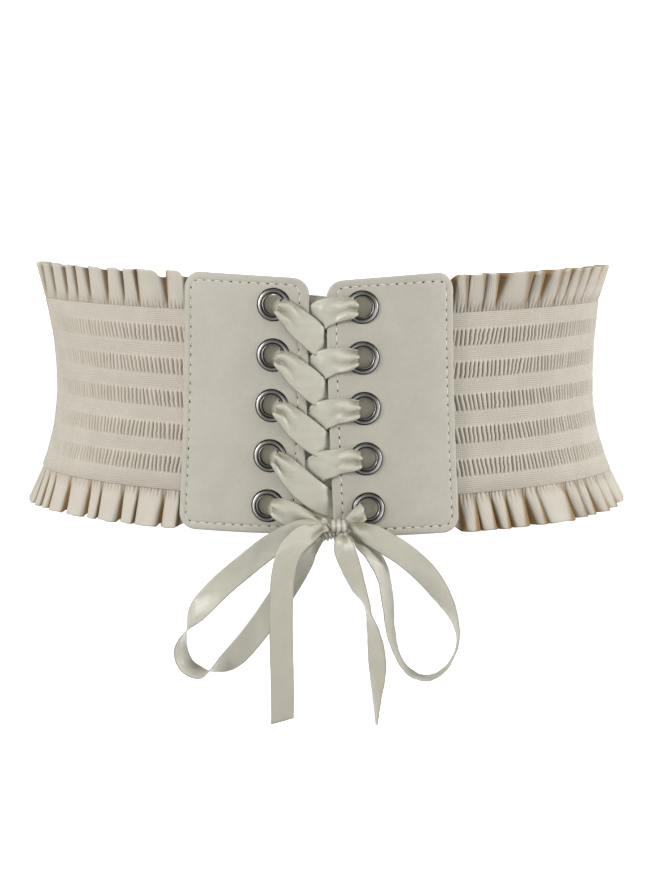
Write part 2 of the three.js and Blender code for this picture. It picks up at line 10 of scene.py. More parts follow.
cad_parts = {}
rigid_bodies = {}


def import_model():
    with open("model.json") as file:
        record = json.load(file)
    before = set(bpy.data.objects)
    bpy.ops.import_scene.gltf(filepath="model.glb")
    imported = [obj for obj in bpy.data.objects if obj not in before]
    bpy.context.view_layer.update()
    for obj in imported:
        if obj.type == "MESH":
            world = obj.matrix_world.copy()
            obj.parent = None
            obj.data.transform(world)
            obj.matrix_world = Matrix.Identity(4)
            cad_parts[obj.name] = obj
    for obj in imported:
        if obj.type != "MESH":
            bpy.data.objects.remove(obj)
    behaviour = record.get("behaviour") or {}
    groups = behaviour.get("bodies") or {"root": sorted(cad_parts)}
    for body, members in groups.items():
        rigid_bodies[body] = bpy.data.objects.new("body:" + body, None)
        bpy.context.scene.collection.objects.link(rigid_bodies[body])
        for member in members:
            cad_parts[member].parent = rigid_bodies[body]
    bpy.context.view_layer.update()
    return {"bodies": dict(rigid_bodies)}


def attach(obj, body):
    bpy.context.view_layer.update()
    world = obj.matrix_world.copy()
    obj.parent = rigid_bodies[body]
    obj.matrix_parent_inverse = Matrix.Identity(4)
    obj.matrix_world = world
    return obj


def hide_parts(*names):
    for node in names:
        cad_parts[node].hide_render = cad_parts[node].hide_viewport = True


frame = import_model()
bodyName = list(frame["bodies"])[0]
print("frame loaded")

mm = 0.001
mapSpan = 100.0  # millimetres to one unit of a surface map

# camera, lights and floor
cameraValues = {
    "distance": 1.0106,
    "elevation": 5.345,  # degrees
    "azimuth": 1.638,
    "target": (0.00036, 0.0, -0.0228),
    "lens": 80.0,
    "sensor": 36.0,
    "reach": 50.0,  # how far it sees, in metres
}


def makeCamera():
    azimuth = math.radians(cameraValues["azimuth"])
    elevation = math.radians(cameraValues["elevation"])
    back = Vector((
        math.sin(azimuth) * math.cos(elevation),
        -math.cos(azimuth) * math.cos(elevation),
        math.sin(elevation),
    ))
    data = bpy.data.cameras.new("camera")
    data.lens = cameraValues["lens"]
    data.sensor_width = cameraValues["sensor"]
    data.clip_end = cameraValues["reach"]
    camera = bpy.data.objects.new("camera", data)
    camera.location = Vector(cameraValues["target"]) + back * cameraValues["distance"]
    camera.rotation_mode = "QUATERNION"
    camera.rotation_quaternion = back.to_track_quat("Z", "Y")
    bpy.context.scene.collection.objects.link(camera)
    bpy.context.scene.camera = camera


lightTable = [
    {"name": "softboxLeft", "place": (-1.4, -1.15, 0.5), "size": 0.8, "power": 45.0},
    {"name": "softboxRight", "place": (1.7, -0.55, 0.3), "size": 0.9, "power": 46.0},
    {"name": "softboxTop", "place": (0.0, -0.6, 1.6), "size": 1.0, "power": 10.0},
    {"name": "softboxBack", "place": (0.3, 1.7, 0.9), "size": 1.2, "power": 34.0},
]
stageValues = {
    "aim": (0.0, 0.0, -0.03),  # where the lights point
    "floorHeight": -0.62,
    "radius": 12.0,
    "backdropHeight": 14.0,
    "segments": 96,
    "white": 0.9,
    "cloud": 3.0,
    "floorGlow": 0.5,
    "backdropGlow": 1.0,
    "surround": 0.72,
}


def makeLights():
    for row in lightTable:
        data = bpy.data.lights.new(row["name"], "AREA")
        data.shape = "DISK"
        data.size = row["size"]
        data.energy = row["power"]
        light = bpy.data.objects.new(row["name"], data)
        light.location = row["place"]
        aim = Vector(row["place"]) - Vector(stageValues["aim"])
        light.rotation_mode = "QUATERNION"
        light.rotation_quaternion = aim.to_track_quat("Z", "Y")
        bpy.context.scene.collection.objects.link(light)
    world = bpy.data.worlds.new("studio")
    world.use_nodes = True
    surround = world.node_tree.nodes["Background"]
    surround.inputs["Color"].default_value = (1, 1, 1, 1)
    surround.inputs["Strength"].default_value = stageValues["surround"]
    bpy.context.scene.world = world
    bpy.context.scene.view_settings.view_transform = "Standard"


makeCamera()
makeLights()
print("camera and lights")


# materials, their colours typed as they look on a screen
def linear(red, green, blue):
    def channel(value):
        value /= 255
        return value / 12.92 if value <= 0.04045 else ((value + 0.055) / 1.055) ** 2.4
    return (channel(red), channel(green), channel(blue), 1.0)


class Wire:  # a socket that takes part in Python expressions
    def __init__(self, paint, socket):
        self.paint = paint
        self.socket = socket

    def calc(self, operation, first, second):
        return self.paint.node("Math", {"operation": operation}, {0: first, 1: second})

    def __add__(self, other):
        return self.calc("ADD", self, other)

    def __sub__(self, other):
        return self.calc("SUBTRACT", self, other)

    def __rsub__(self, other):
        return self.calc("SUBTRACT", other, self)

    def __mul__(self, other):
        return self.calc("MULTIPLY", self, other)

    def __pow__(self, other):
        return self.calc("POWER", self, other)

    __radd__ = __add__
    __rmul__ = __mul__

    def wave(self, pitch):  # pitch in millimetres of the surface map
        return self.paint.node("Math", {"operation": "SINE"}, {0: self * (2 * math.pi * mapSpan / pitch)})

    def clipped(self):
        return self.paint.node("Clamp", {}, {"Value": self})


class Paint:  # one material
    def __init__(self, name, **constants):
        self.material = bpy.data.materials.new(name)
        self.material.use_nodes = True
        self.tree = self.material.node_tree
        self.shader = self.tree.nodes["Principled BSDF"]
        for key, value in constants.items():
            self.shader.inputs[key.replace("_", " ")].default_value = value

    def node(self, kind, settings, sockets, output=0):
        made = self.tree.nodes.new("ShaderNode" + kind)
        for key, value in settings.items():
            if key == "stops":
                ramp = made.color_ramp
                while len(ramp.elements) < len(value):
                    ramp.elements.new(0.5)
                for element, (position, colour) in zip(ramp.elements, value):
                    element.position = position
                    element.color = colour
            else:
                setattr(made, key, value)
        for key, value in sockets.items():
            self.put(made.inputs[key], value)
        return Wire(self, made.outputs[output])

    def put(self, socket, value):
        if isinstance(value, Wire):
            self.tree.links.new(value.socket, socket)
        else:
            socket.default_value = value

    def place(self):
        return self.node("TexCoord", {}, {}, "Object")

    def surface(self):
        flat = self.node("UVMap", {"uv_map": "surface"}, {})
        return (
            self.node("SeparateXYZ", {}, {0: flat}, 0),
            self.node("SeparateXYZ", {}, {0: flat}, 1),
            flat,
        )

    def mark(self, name):
        return self.node("Attribute", {"attribute_name": name}, {}, "Fac")

    def noise(self, vector, scale, detail=2.0, rough=0.5):
        return self.node("TexNoise", {}, {"Vector": vector, "Scale": scale, "Detail": detail, "Roughness": rough})

    def threads(self, flat, stretch):  # fine threads that run along the surface map
        return self.noise(self.node("Mapping", {}, {0: flat, 3: stretch}), 1.0, 3.0)

    def mix(self, share, first, second):  # wires, or colours of three numbers up to 255
        first, second = (tone if isinstance(tone, Wire) else linear(*tone) for tone in (first, second))
        return self.node("Mix", {"data_type": "RGBA"}, {0: share, 6: first, 7: second}, 2)

    def bump(self, height, distance, strength=1.0):
        return self.node("Bump", {}, {"Height": height, "Distance": distance, "Strength": strength})

    def finish(self, colour, roughness, normal):
        self.put(self.shader.inputs["Base Color"], colour)
        self.put(self.shader.inputs["Roughness"], roughness)
        self.put(self.shader.inputs["Normal"], normal)
        return self.material


leatherValues = {
    "pale": (138, 134, 124),
    "deep": (128, 124, 114),
    "grain": 1250.0,
    "fine": 2600.0,
    "speck": 420.0,
    "cloud": 45.0,
    "roughness": 0.5,
    "relief": 0.00016,  # metres
}


def leatherPaint():
    values = leatherValues
    paint = Paint("artificialLeather", Specular_IOR_Level=0.42)
    where = paint.place()
    cells = paint.node("TexVoronoi", {"feature": "SMOOTH_F1"}, {"Vector": where, "Scale": values["grain"]})
    fine = paint.noise(where, values["fine"])
    cloudy = paint.noise(where, values["cloud"], 4.0)
    speck = paint.noise(where, values["speck"], 3.0, 0.6)
    share = ((cloudy - 0.5) * 1.5 + (speck - 0.5) * 0.9 + 0.5).clipped()
    return paint.finish(
        paint.mix(share, values["deep"], values["pale"]),
        values["roughness"] + fine * 0.16,
        paint.bump(cells * 0.7 + fine * 0.5, values["relief"], 0.55),
    )


elasticValues = {
    "plain": (126, 121, 110),
    "lit": (160, 154, 143),
    # the next colour is painted shade for the gaps between the ribs
    "crease": (112, 92, 62),
    "columnPitch": 1.05,  # millimetres between knit columns
    "rowPitch": 1.0,
    "thread": (40.0, 700.0, 1.0),
    "cloud": 70.0,
    "roughness": 0.86,
    "relief": 0.0003,
}


def elasticPaint():
    values = elasticValues
    paint = Paint("elasticKnit", Specular_IOR_Level=0.2, Sheen_Weight=0.12, Sheen_Roughness=0.5)
    along, up, flat = paint.surface()
    stripe = paint.mark("stripe")
    columns = along.wave(values["columnPitch"]) * 0.5 + 0.5
    rows = up.wave(values["rowPitch"]) * 0.5 + 0.5
    threads = paint.threads(flat, values["thread"])
    dots = (columns * rows) ** 1.5
    knit = (1 - dots * 0.75 - (1 - columns) * 0.2) * (1 - stripe) + stripe * 0.9
    cloudy = paint.noise(paint.place(), values["cloud"], 3.0)
    share = (knit * 1.1 - 0.35 + (threads - 0.5) * 0.7 + (cloudy - 0.5) * 0.5).clipped()
    cloth = paint.mix(share, values["plain"], values["lit"])
    return paint.finish(
        # painted shade: the gaps between the ribs are mixed towards the darker crease colour
        paint.mix(paint.mark("crease"), cloth, values["crease"]),
        values["roughness"],
        paint.bump(knit + threads * 0.4, values["relief"], 0.8),
    )


ruffleValues = {
    "pale": (157, 152, 142),
    "deep": (141, 136, 126),
    # the next colour is painted shade for the creases between the folds
    "crease": (106, 82, 44),
    "ribPitch": 0.6,
    "pickPitch": 0.55,
    "cloud": 120.0,
    "roughness": 0.8,
    "relief": 0.0002,
}


def rufflePaint():
    values = ruffleValues
    paint = Paint("ruffleCloth", Specular_IOR_Level=0.15, Sheen_Weight=0.02, Sheen_Roughness=0.45)
    along, up, flat = paint.surface()
    ribs = along.wave(values["ribPitch"])
    picks = up.wave(values["pickPitch"])
    weave = ribs * 0.7 + ribs * picks * 0.3
    cloudy = paint.noise(paint.place(), values["cloud"], 3.0)
    share = (weave * 0.28 + (cloudy - 0.5) * 0.7 + 0.55).clipped()
    cloth = paint.mix(share, values["deep"], values["pale"])
    return paint.finish(
        # painted shade: leaning edges, valleys and gathers are mixed towards the crease colour
        paint.mix(paint.mark("crease"), cloth, values["crease"]),
        values["roughness"],
        paint.bump(weave, values["relief"], 0.35),
    )


ribbonValues = {
    "pale": (146, 144, 133),
    "deep": (131, 128, 115),
    "selvage": (84, 78, 56),
    "shade": (84, 76, 50),
    "dotPitch": 0.85,  # of the selvage's woven dots
    "thread": (20.0, 160.0, 1.0),
    "cloud": 90.0,
    "roughness": 0.36,
    "relief": 0.00012,
}


def ribbonPaint():
    values = ribbonValues
    paint = Paint(
        "satinRibbon", Specular_IOR_Level=0.5, Sheen_Weight=0.25, Sheen_Roughness=0.3, Anisotropic=0.4,
    )
    along, across, flat = paint.surface()
    edge = 1 - (across * (1 - across) * 4)  # 0 in the middle of the ribbon, 1 at its edges
    selvage = ((edge - 0.8) * 6).clipped()
    dots = along.wave(values["dotPitch"]) * 0.5 + 0.5
    threads = paint.threads(flat, values["thread"])
    cloudy = paint.noise(paint.place(), values["cloud"], 2.0)
    share = ((threads - 0.5) * 0.5 + (cloudy - 0.5) * 0.8 + 0.6).clipped()
    satin = paint.mix(share, values["deep"], values["pale"])
    # painted shade: pleat valleys, pinched ends and the far ends of the bow's pieces are mixed towards the shade
    # colour
    shaded = paint.mix(paint.mark("crease"), satin, values["shade"])
    return paint.finish(
        paint.mix((selvage * (dots * 0.6 + 0.2)).clipped(), shaded, values["selvage"]),
        values["roughness"] + threads * 0.14,
        paint.bump(threads * 0.5 + selvage * dots * 0.6, values["relief"], 0.5),
    )


metalValues = {
    "tones": [(0.0, (20, 19, 18)), (0.55, (104, 102, 99)), (1.0, (186, 184, 180))],  # from tarnished hollows to crests with painted highlight
    "scratch": 900.0,
    "roughness": 0.32,
    "relief": 0.000005,
}


def metalPaint():
    values = metalValues
    paint = Paint("darkNickel", Metallic=1.0)
    scratch = paint.noise(paint.place(), values["scratch"], 4.0, 0.6)
    # the mark holds tarnish in the hollows together with painted highlight on the crests and painted reflection
    # round the ring
    polish = (paint.mark("polish") + (scratch - 0.5) * 0.05).clipped()
    stops = [(position, linear(*tone)) for position, tone in values["tones"]]
    return paint.finish(
        paint.node("ValToRGB", {"stops": stops}, {0: polish}),
        values["roughness"] + scratch * 0.06,
        paint.bump(scratch, values["relief"], 0.1),
    )


threadValues = {
    "pale": (186, 181, 167), "deep": (156, 150, 136), "twist": 900.0, "roughness": 0.62, "relief": 0.00006,
}


def threadPaint():
    values = threadValues
    paint = Paint("sewingThread", Sheen_Weight=0.2)
    sockets = {"Vector": paint.place(), "Scale": values["twist"]}
    twist = paint.node("TexWave", {"bands_direction": "DIAGONAL"}, sockets, 1)
    colour = paint.mix(twist, values["deep"], values["pale"])
    return paint.finish(colour, values["roughness"], paint.bump(twist, values["relief"], 0.8))


# needle holes: dark colour on small lumps, painted shade standing in for the holes' hollows
needleValues = {"pale": (58, 55, 45), "deep": (34, 32, 26), "grain": 3000.0, "roughness": 0.9, "relief": 0.00004}


def needlePaint():
    values = needleValues
    paint = Paint("needleHoleShade", Specular_IOR_Level=0.1)
    rough = paint.noise(paint.place(), values["grain"])
    colour = paint.mix(rough, values["deep"], values["pale"])
    return paint.finish(colour, values["roughness"], paint.bump(rough, values["relief"], 0.5))


backingValues = {
    "pale": (222, 216, 197),
    "deep": (204, 198, 178),
    "grain": 1500.0,
    "cloud": 60.0,
    "roughness": 0.85,
    "relief": 0.00015,
}


def backingPaint():
    values = backingValues
    paint = Paint("backingCloth", Specular_IOR_Level=0.2)
    where = paint.place()
    grain = paint.noise(where, values["grain"], 3.0, 0.6)
    cloudy = paint.noise(where, values["cloud"], 3.0)
    colour = paint.mix(((grain - 0.5) * 1.2 + cloudy).clipped(), values["deep"], values["pale"])
    return paint.finish(colour, values["roughness"], paint.bump(grain, values["relief"], 0.6))


def stagePaint(name, glow):
    paint = Paint(name, Specular_IOR_Level=0.05, Emission_Color=(1, 1, 1, 1), Emission_Strength=glow)
    soft = paint.noise(paint.place(), stageValues["cloud"])
    white = stageValues["white"]
    colour = paint.node("Mix", {"data_type": "RGBA"}, {
        0: soft, 6: (white, white, white, 1), 7: (white * 0.99, white * 0.99, white * 0.985, 1),
    }, 2)
    return paint.finish(colour, 0.9, paint.bump(soft, 0.001, 0.1))


paints = {
    "leather": leatherPaint(),
    "elastic": elasticPaint(),
    "ruffle": rufflePaint(),
    "ribbon": ribbonPaint(),
    "metal": metalPaint(),
    "thread": threadPaint(),
    "needle": needlePaint(),
    "backing": backingPaint(),
    "floor": stagePaint("paleFloor", stageValues["floorGlow"]),
    "backdrop": stagePaint("paleBackdrop", stageValues["backdropGlow"]),
}
print("materials")

# the form that the belt holds when worn, in millimetres
form = {
    "halfWidth": 136.5,
    "halfDepth": 98.6,
    "sideRise": 5.2,
    "backDrop": 16.5,
    "topSeam": 45.2,
    "bottomSeam": -42.7,
    "hemHeight": 18.0,
    "bandCentre": 1.25,
    "panelBack": 3.4,
    "panelFace": 5.4,
}
flare = {  # outward flare as shares of halfWidth
    "bottomHem": {"left": 0.088, "right": 0.091, "front": 0.0, "back": 0.04},
    "bottomSeam": {"left": 0.06, "right": 0.069, "front": 0.0, "back": 0.03},
    "topSeam": {"left": 0.044, "right": 0.023, "front": 0.0, "back": 0.02},
    "topHem": {"left": 0.038, "right": 0.028, "front": 0.0, "back": 0.03},
}


def runLengths(points):  # how far along a line each of its points lies
    return np.concatenate([[0], np.cumsum(np.linalg.norm(np.diff(points, axis=0), axis=1))])


turnTable = np.linspace(0, math.pi, 1441)
faceLine = np.stack([
    (form["halfWidth"] + form["panelFace"]) * np.sin(turnTable),
    (form["halfDepth"] + form["panelFace"]) * np.cos(turnTable),
], 1)
girthTable = runLengths(faceLine)
halfGirth = girthTable[-1]


def flareAt(height, side):
    top, bottom = form["topSeam"], form["bottomSeam"]
    over = np.clip((height - top) / form["hemHeight"], 0, None)
    under = np.clip((bottom - height) / form["hemHeight"], 0, None)
    atTop, atBottom = flare["topSeam"][side], flare["bottomSeam"][side]
    band = np.where(height > 0, atTop * (height / top) ** 2, atBottom * (height / bottom) ** 2)
    above = atTop + (flare["topHem"][side] - atTop) * over
    below = atBottom + (flare["bottomHem"][side] - atBottom) * under
    share = np.where(height > top, above, np.where(height < bottom, below, band))
    return share * form["halfWidth"]


def onForm(along, height, out):  # arrays in millimetres, points in metres
    along, height, out = np.broadcast_arrays(*(np.asarray(v, float) for v in (along, height, out)))
    turn = np.sign(along) * np.interp(np.abs(along), girthTable, turnTable)
    sine, cosine = np.sin(turn), np.cos(turn)
    sideShare = sine ** 4
    ahead = cosine > 0
    middle = np.where(ahead, flareAt(height, "front"), flareAt(height, "back"))
    side = np.where(turn < 0, flareAt(height, "left"), flareAt(height, "right"))
    spread = middle + (side - middle) * sideShare + out
    normalX, normalY = sine / form["halfWidth"], -cosine / form["halfDepth"]
    size = np.hypot(normalX, normalY)
    drop = np.where(ahead, form["sideRise"], form["sideRise"] + form["backDrop"])
    return mm * np.stack([
        form["halfWidth"] * sine + normalX / size * spread,
        -form["halfDepth"] * cosine + normalY / size * spread,
        height + form["sideRise"] - drop * cosine ** 2,
    ], -1)


# shared tools
def addPiece(name, mesh, paint, replaced=()):
    piece = bpy.data.objects.new(name, mesh)
    bpy.context.scene.collection.objects.link(piece)
    mesh.materials.clear()
    mesh.materials.append(paints[paint])
    mesh.polygons.foreach_set("use_smooth", np.ones(len(mesh.polygons), bool))
    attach(piece, bodyName)
    if replaced:
        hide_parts(*replaced)
    return piece


def meshFrom(bm, name):
    mesh = bpy.data.meshes.new(name)
    bm.to_mesh(mesh)
    bm.free()
    return mesh


def shapedGrid(name, columns, rows, shapeAt, closed=False):
    bm = bmesh.new()
    bmesh.ops.create_grid(bm, x_segments=columns, y_segments=rows, size=0.5)
    mesh = meshFrom(bm, name)
    count = len(mesh.vertices)
    flat = np.zeros(count * 3)
    mesh.vertices.foreach_get("co", flat)
    flat = flat.reshape(-1, 3)[:, :2] + 0.5
    points, surface, marks = shapeAt(flat[:, 0], flat[:, 1])
    mesh.vertices.foreach_set("co", np.ascontiguousarray(points, dtype=np.float32).ravel())
    corners = np.zeros(len(mesh.loops), dtype=np.int32)
    mesh.loops.foreach_get("vertex_index", corners)
    layer = mesh.uv_layers.new(name="surface")
    layer.data.foreach_set("uv", np.ascontiguousarray(surface[corners], dtype=np.float32).ravel())
    for key, values in marks.items():
        attribute = mesh.attributes.new(key, "FLOAT", "POINT")
        attribute.data.foreach_set("value", np.ascontiguousarray(values, dtype=np.float32))
    if closed:
        bm = bmesh.new()
        bm.from_mesh(mesh)
        rim = [v for v in bm.verts if v.is_boundary]
        bmesh.ops.remove_doubles(bm, verts=rim, dist=1e-7)
        bmesh.ops.holes_fill(bm, edges=[e for e in bm.edges if e.is_boundary], sides=0)
        bmesh.ops.recalc_face_normals(bm, faces=bm.faces)
        bm.to_mesh(mesh)
        bm.free()
    mesh.update()
    return mesh


def giveWall(piece, name, thickness):  # in metres, half to each side of the sheet
    wall = piece.modifiers.new(name, "SOLIDIFY")
    wall.thickness = thickness
    wall.offset = 0


def between(first, last, share):
    return first + (last - first) * share


def smoothStep(low, high, value):
    share = np.clip((value - low) / (high - low), 0, 1)
    return share * share * (3 - 2 * share)


def smoothThrough(rows, steps):  # Catmull-Rom through the rows of a table
    rows = np.asarray(rows, float)
    padded = np.vstack([2 * rows[0] - rows[1], rows, 2 * rows[-1] - rows[-2]])
    at = np.linspace(0, len(rows) - 1, steps + 1)
    low = np.minimum(at.astype(int), len(rows) - 2)
    share = (at - low)[:, None]
    a, b, c, d = (padded[low + k] for k in range(4))
    return 0.5 * (
        2 * b + (c - a) * share + (2 * a - 5 * b + 4 * c - d) * share ** 2
        + (3 * b - a - 3 * c + d) * share ** 3
    )


def ripple(value, seed, pitch):  # a smooth wander made of three waves
    rng = np.random.RandomState(seed)
    total = np.zeros_like(value, dtype=float)
    for share in (1.0, 0.53, 0.29):
        wave = 2 * math.pi * value / (pitch * share * rng.uniform(0.85, 1.2))
        total += share * np.sin(wave + rng.uniform(0, 6.28))
    return total / 1.82  # the sum of the three shares


# front panels, in millimetres
rowCount = 5
panelValues = {
    "height": 121.4,
    "pitch": 23.697,
    "inner": 16.9,
    "outer": 44.5,
    "innerCorner": 7.5,
    "outerCorner": 8.0,
    "wall": 2.0,
    "edgeRound": 1.0,
    "hole": 5.6,
    "eyeletSpread": (21.0, 3.05, 1.6),  # reach at the top row, how much more at the bottom row, and the curve
    "spacing": (1.15, 1.3),  # of the mesh, across and up
    "grooveDepth": 0.28,
    "grooveReach": 0.5,
    "crown": 0.12,
    "sag": 0.12,
}
stitchValues = {
    "inset": 3.6,
    "innerInset": 4.6,
    "corner": 4.2,
    "pitch": 4.4,
    "length": 2.7,
    "thick": 0.23,
    "lift": 0.1,
    "hole": 0.44,
    "holeDepth": 0.16,
    "holeLift": 0.06,
}
sides = [
    {"name": "Left", "node": "left", "sign": -1, "centre": 0.5, "drop": (0.0, 0.9), "tilt": (-1.4, 1.4)},
    {"name": "Right", "node": "right", "sign": 1, "centre": -0.8, "drop": (1.3, 2.6), "tilt": (-1.6, 2.4)},
]
panelWidth = panelValues["inner"] + panelValues["outer"]


def eyeletSpread(height):
    top, more, curve = panelValues["eyeletSpread"]
    share = np.clip(0.5 - np.asarray(height, float) / ((rowCount - 1) * panelValues["pitch"]), 0, 1.1)
    return top + more * share ** curve


def rowHeight(row):
    return ((rowCount - 1) / 2 - row) * panelValues["pitch"]


def cornerHeight(distance, radius):
    inside = np.maximum(radius - distance, 0)
    return panelValues["height"] / 2 - radius + np.sqrt(radius ** 2 - inside ** 2)


def edgeDistance(x, y):  # how far a point of the flat panel lies inside its rounded outline
    half = panelValues["height"] / 2
    near = x < panelWidth / 2
    fromSide = np.where(near, x, panelWidth - x)
    fromEnd = half - np.abs(y)
    radius = np.where(near, panelValues["innerCorner"], panelValues["outerCorner"])
    inCorner = (fromSide < radius) & (fromEnd < radius)
    fromCurve = radius - np.hypot(radius - fromSide, radius - fromEnd)
    return np.where(inCorner, fromCurve, np.minimum(fromSide, fromEnd))


def stitchDistance(x, y):  # how far a point of the flat panel lies from the sewn line
    shifted = np.where(x < panelWidth / 2, x - stitchValues["innerInset"] + stitchValues["inset"], x)
    return edgeDistance(shifted, y) - stitchValues["inset"]


def spacedShares(width, fine):  # shares of a width, close together at both edges
    near = np.array([0, 0.15, 0.45, 0.9, 1.5, 2.3, 2.9, 3.25, 3.6, 3.95, 4.3, 4.6, 4.9, 5.4, 6.2])
    count = int((width - 2 * near[-1]) / fine)
    middle = np.linspace(near[-1], width - near[-1], count + 1)[1:-1]
    return np.concatenate([near, middle, (width - near)[::-1]]) / width


def panelWrap(side, x, y, out):  # flat panel to the belt
    along = eyeletSpread(y) - panelValues["inner"] + x
    inner, outer = side["tilt"]  # how far the top edge moves at the lacing and at the outer edge
    nearTop = np.clip(2 * y / panelValues["height"], 0, 1) ** 4
    tilt = between(inner, outer, np.clip(x / panelWidth, 0, 1) ** 0.7)
    return onForm(side["sign"] * along, side["centre"] + y + tilt * nearTop, out)


def makePanel(side):
    across = spacedShares(panelWidth, panelValues["spacing"][0])
    upward = spacedShares(panelValues["height"], panelValues["spacing"][1])
    bm = bmesh.new()
    bmesh.ops.create_grid(bm, x_segments=len(across) - 1, y_segments=len(upward) - 1, size=0.5)
    for vert in bm.verts:
        x = across[round((vert.co.x + 0.5) * (len(across) - 1))] * panelWidth
        level = upward[round((vert.co.y + 0.5) * (len(upward) - 1))] * 2 - 1
        half = min(
            cornerHeight(x, panelValues["innerCorner"]), cornerHeight(panelWidth - x, panelValues["outerCorner"]),
        )
        vert.co = (x, level * half, 0)
    holes = [Vector((panelValues["inner"], rowHeight(row), 0)) for row in range(rowCount)]
    for centre in holes:
        inside = [f for f in bm.faces if (f.calc_center_median() - centre).length < panelValues["hole"]]
        bmesh.ops.delete(bm, geom=inside, context="FACES")
        for vert in bm.verts:
            if vert.is_boundary and (vert.co - centre).length < panelValues["hole"] * 1.6:
                vert.co = centre + (vert.co - centre).normalized() * panelValues["hole"]
    bmesh.ops.recalc_face_normals(bm, faces=bm.faces)
    bmesh.ops.solidify(bm, geom=bm.faces[:], thickness=panelValues["wall"])
    bmesh.ops.recalc_face_normals(bm, faces=bm.faces)
    points = np.array([v.co for v in bm.verts])
    front = points[:, 2] > points[:, 2].mean()
    x, y = points[:, 0], points[:, 1]
    distance = edgeDistance(x, y)
    radius = panelValues["edgeRound"]
    inside = np.clip(radius - distance, 0, radius)
    rounding = radius - np.sqrt(np.maximum(radius ** 2 - inside ** 2, 0))
    sewn = stitchDistance(x, y)
    groove = panelValues["grooveDepth"] * np.exp(-((sewn / panelValues["grooveReach"]) ** 2))
    crown = panelValues["crown"] * smoothStep(4, 10, distance)
    sag = panelValues["sag"] * ripple(x + 3 * side["sign"], 5, 34.0) * ripple(y, 8, 41.0)
    face = form["panelFace"] - rounding - groove + crown + sag * smoothStep(3, 12, distance)
    out = np.where(front, face, form["panelBack"] + 0.3 * rounding)
    placed = panelWrap(side, x, y, out)
    for vert, point in zip(bm.verts, placed):
        vert.co = point
    if side["sign"] < 0:
        bmesh.ops.reverse_faces(bm, faces=bm.faces)
    name = "panel" + side["name"]
    addPiece(name, meshFrom(bm, name), "leather", ["front_panel_" + side["node"]])


def stitchLine():  # points of the sewn line on the flat panel, from the inner edge round
    inset, radius = stitchValues["inset"], stitchValues["corner"]
    half = panelValues["height"] / 2 - inset
    low, high = stitchValues["innerInset"], panelWidth - inset
    centres = [(low + radius, half - radius, 180), (high - radius, half - radius, 90),
               (high - radius, -half + radius, 0), (low + radius, -half + radius, -90)]
    line = []
    for x, y, start in centres:
        for step in range(9):
            angle = math.radians(start - 90 * step / 8)
            line.append((x + radius * math.cos(angle), y + radius * math.sin(angle)))
    line.append(line[0])
    return np.array(line)


def makeStitches(side):
    line = stitchLine()
    lengths = runLengths(line)
    count = round(lengths[-1] / stitchValues["pitch"])
    threads, needles = bmesh.new(), bmesh.new()
    rng = np.random.RandomState(3 + side["sign"])
    threadSize = (stitchValues["length"] / 2, stitchValues["thick"], stitchValues["thick"] * 0.8)

    def pointAt(stitch):  # a place on the sewn line, counted in stitches
        where = (lengths[-1] * stitch / count) % lengths[-1]
        return np.array([np.interp(where, lengths, line[:, axis]) for axis in (0, 1)])

    for k in range(count):
        jitter = rng.uniform(-0.05, 0.05)
        bite = stitchValues["hole"] * rng.uniform(0.55, 1.1)
        before, middle, after, hole = (pointAt(k + share + jitter) for share in (0.2, 0.5, 0.8, 1.0))
        # each needle hole is a small dark lump whose colour is painted shade
        holeSize = (bite * 1.25, bite, stitchValues["holeDepth"])
        for bm, centre, size, lift in (
            (threads, middle, threadSize, stitchValues["lift"]),
            (needles, hole, holeSize, stitchValues["holeLift"]),
        ):
            out = form["panelFace"] - panelValues["grooveDepth"] + lift
            here = panelWrap(side, centre[0], centre[1], out)
            ahead = panelWrap(side, *(centre + (after - before) * 0.5), out)
            above = panelWrap(side, centre[0], centre[1], out + 1)
            run = Vector(ahead - here).normalized()
            face = Vector(above - here).normalized()
            turn = Matrix((run, face.cross(run), face)).transposed().to_4x4()
            sized = Matrix.Diagonal((*(s * mm for s in size), 1))
            bmesh.ops.create_uvsphere(
                bm, u_segments=6, v_segments=6, radius=1,
                matrix=Matrix.Translation(here) @ turn @ sized @ Matrix.Rotation(math.pi / 2, 4, "Y"),
            )
    for part, bm, paint in (("stitches", threads, "thread"), ("needleHoles", needles, "needle")):
        name = part + side["name"]
        addPiece(name, meshFrom(bm, name), paint)


# eyelets
# the last two numbers give the mean and the swing of the painted reflection round the ring
eyeletValues = {"steps": 48, "polish": 0.72, "uneven": 0.3}
eyeletProfile = [  # radius and height above the panel's face, in millimetres, and how bright the metal is: tarnish and painted shade in the hollows and the barrel, painted highlight on the crests
    (4.75, -2.9, 0.0), (4.75, 0.2, 0.0), (4.76, 0.75, 0.1), (4.84, 1.08, 0.5), (5.0, 1.24, 0.75), (5.2, 1.24, 0.4),
    (5.38, 1.08, 0.05), (5.5, 0.92, 0.0), (5.72, 0.95, 0.0), (5.98, 1.14, 0.3), (6.3, 1.27, 0.75),
    (6.65, 1.29, 0.9), (7.0, 1.2, 0.6), (7.3, 1.0, 0.2), (7.5, 0.8, 0.02), (7.76, 0.45, 0.0),
    (7.88, 0.12, 0.0), (7.7, 0.04, 0.0), (5.3, 0.04, 0.0),
    (5.3, -2.35, 0.2), (6.9, -2.4, 0.3), (7.0, -2.6, 0.6), (6.85, -2.78, 0.6), (5.4, -2.9, 0.4),
]


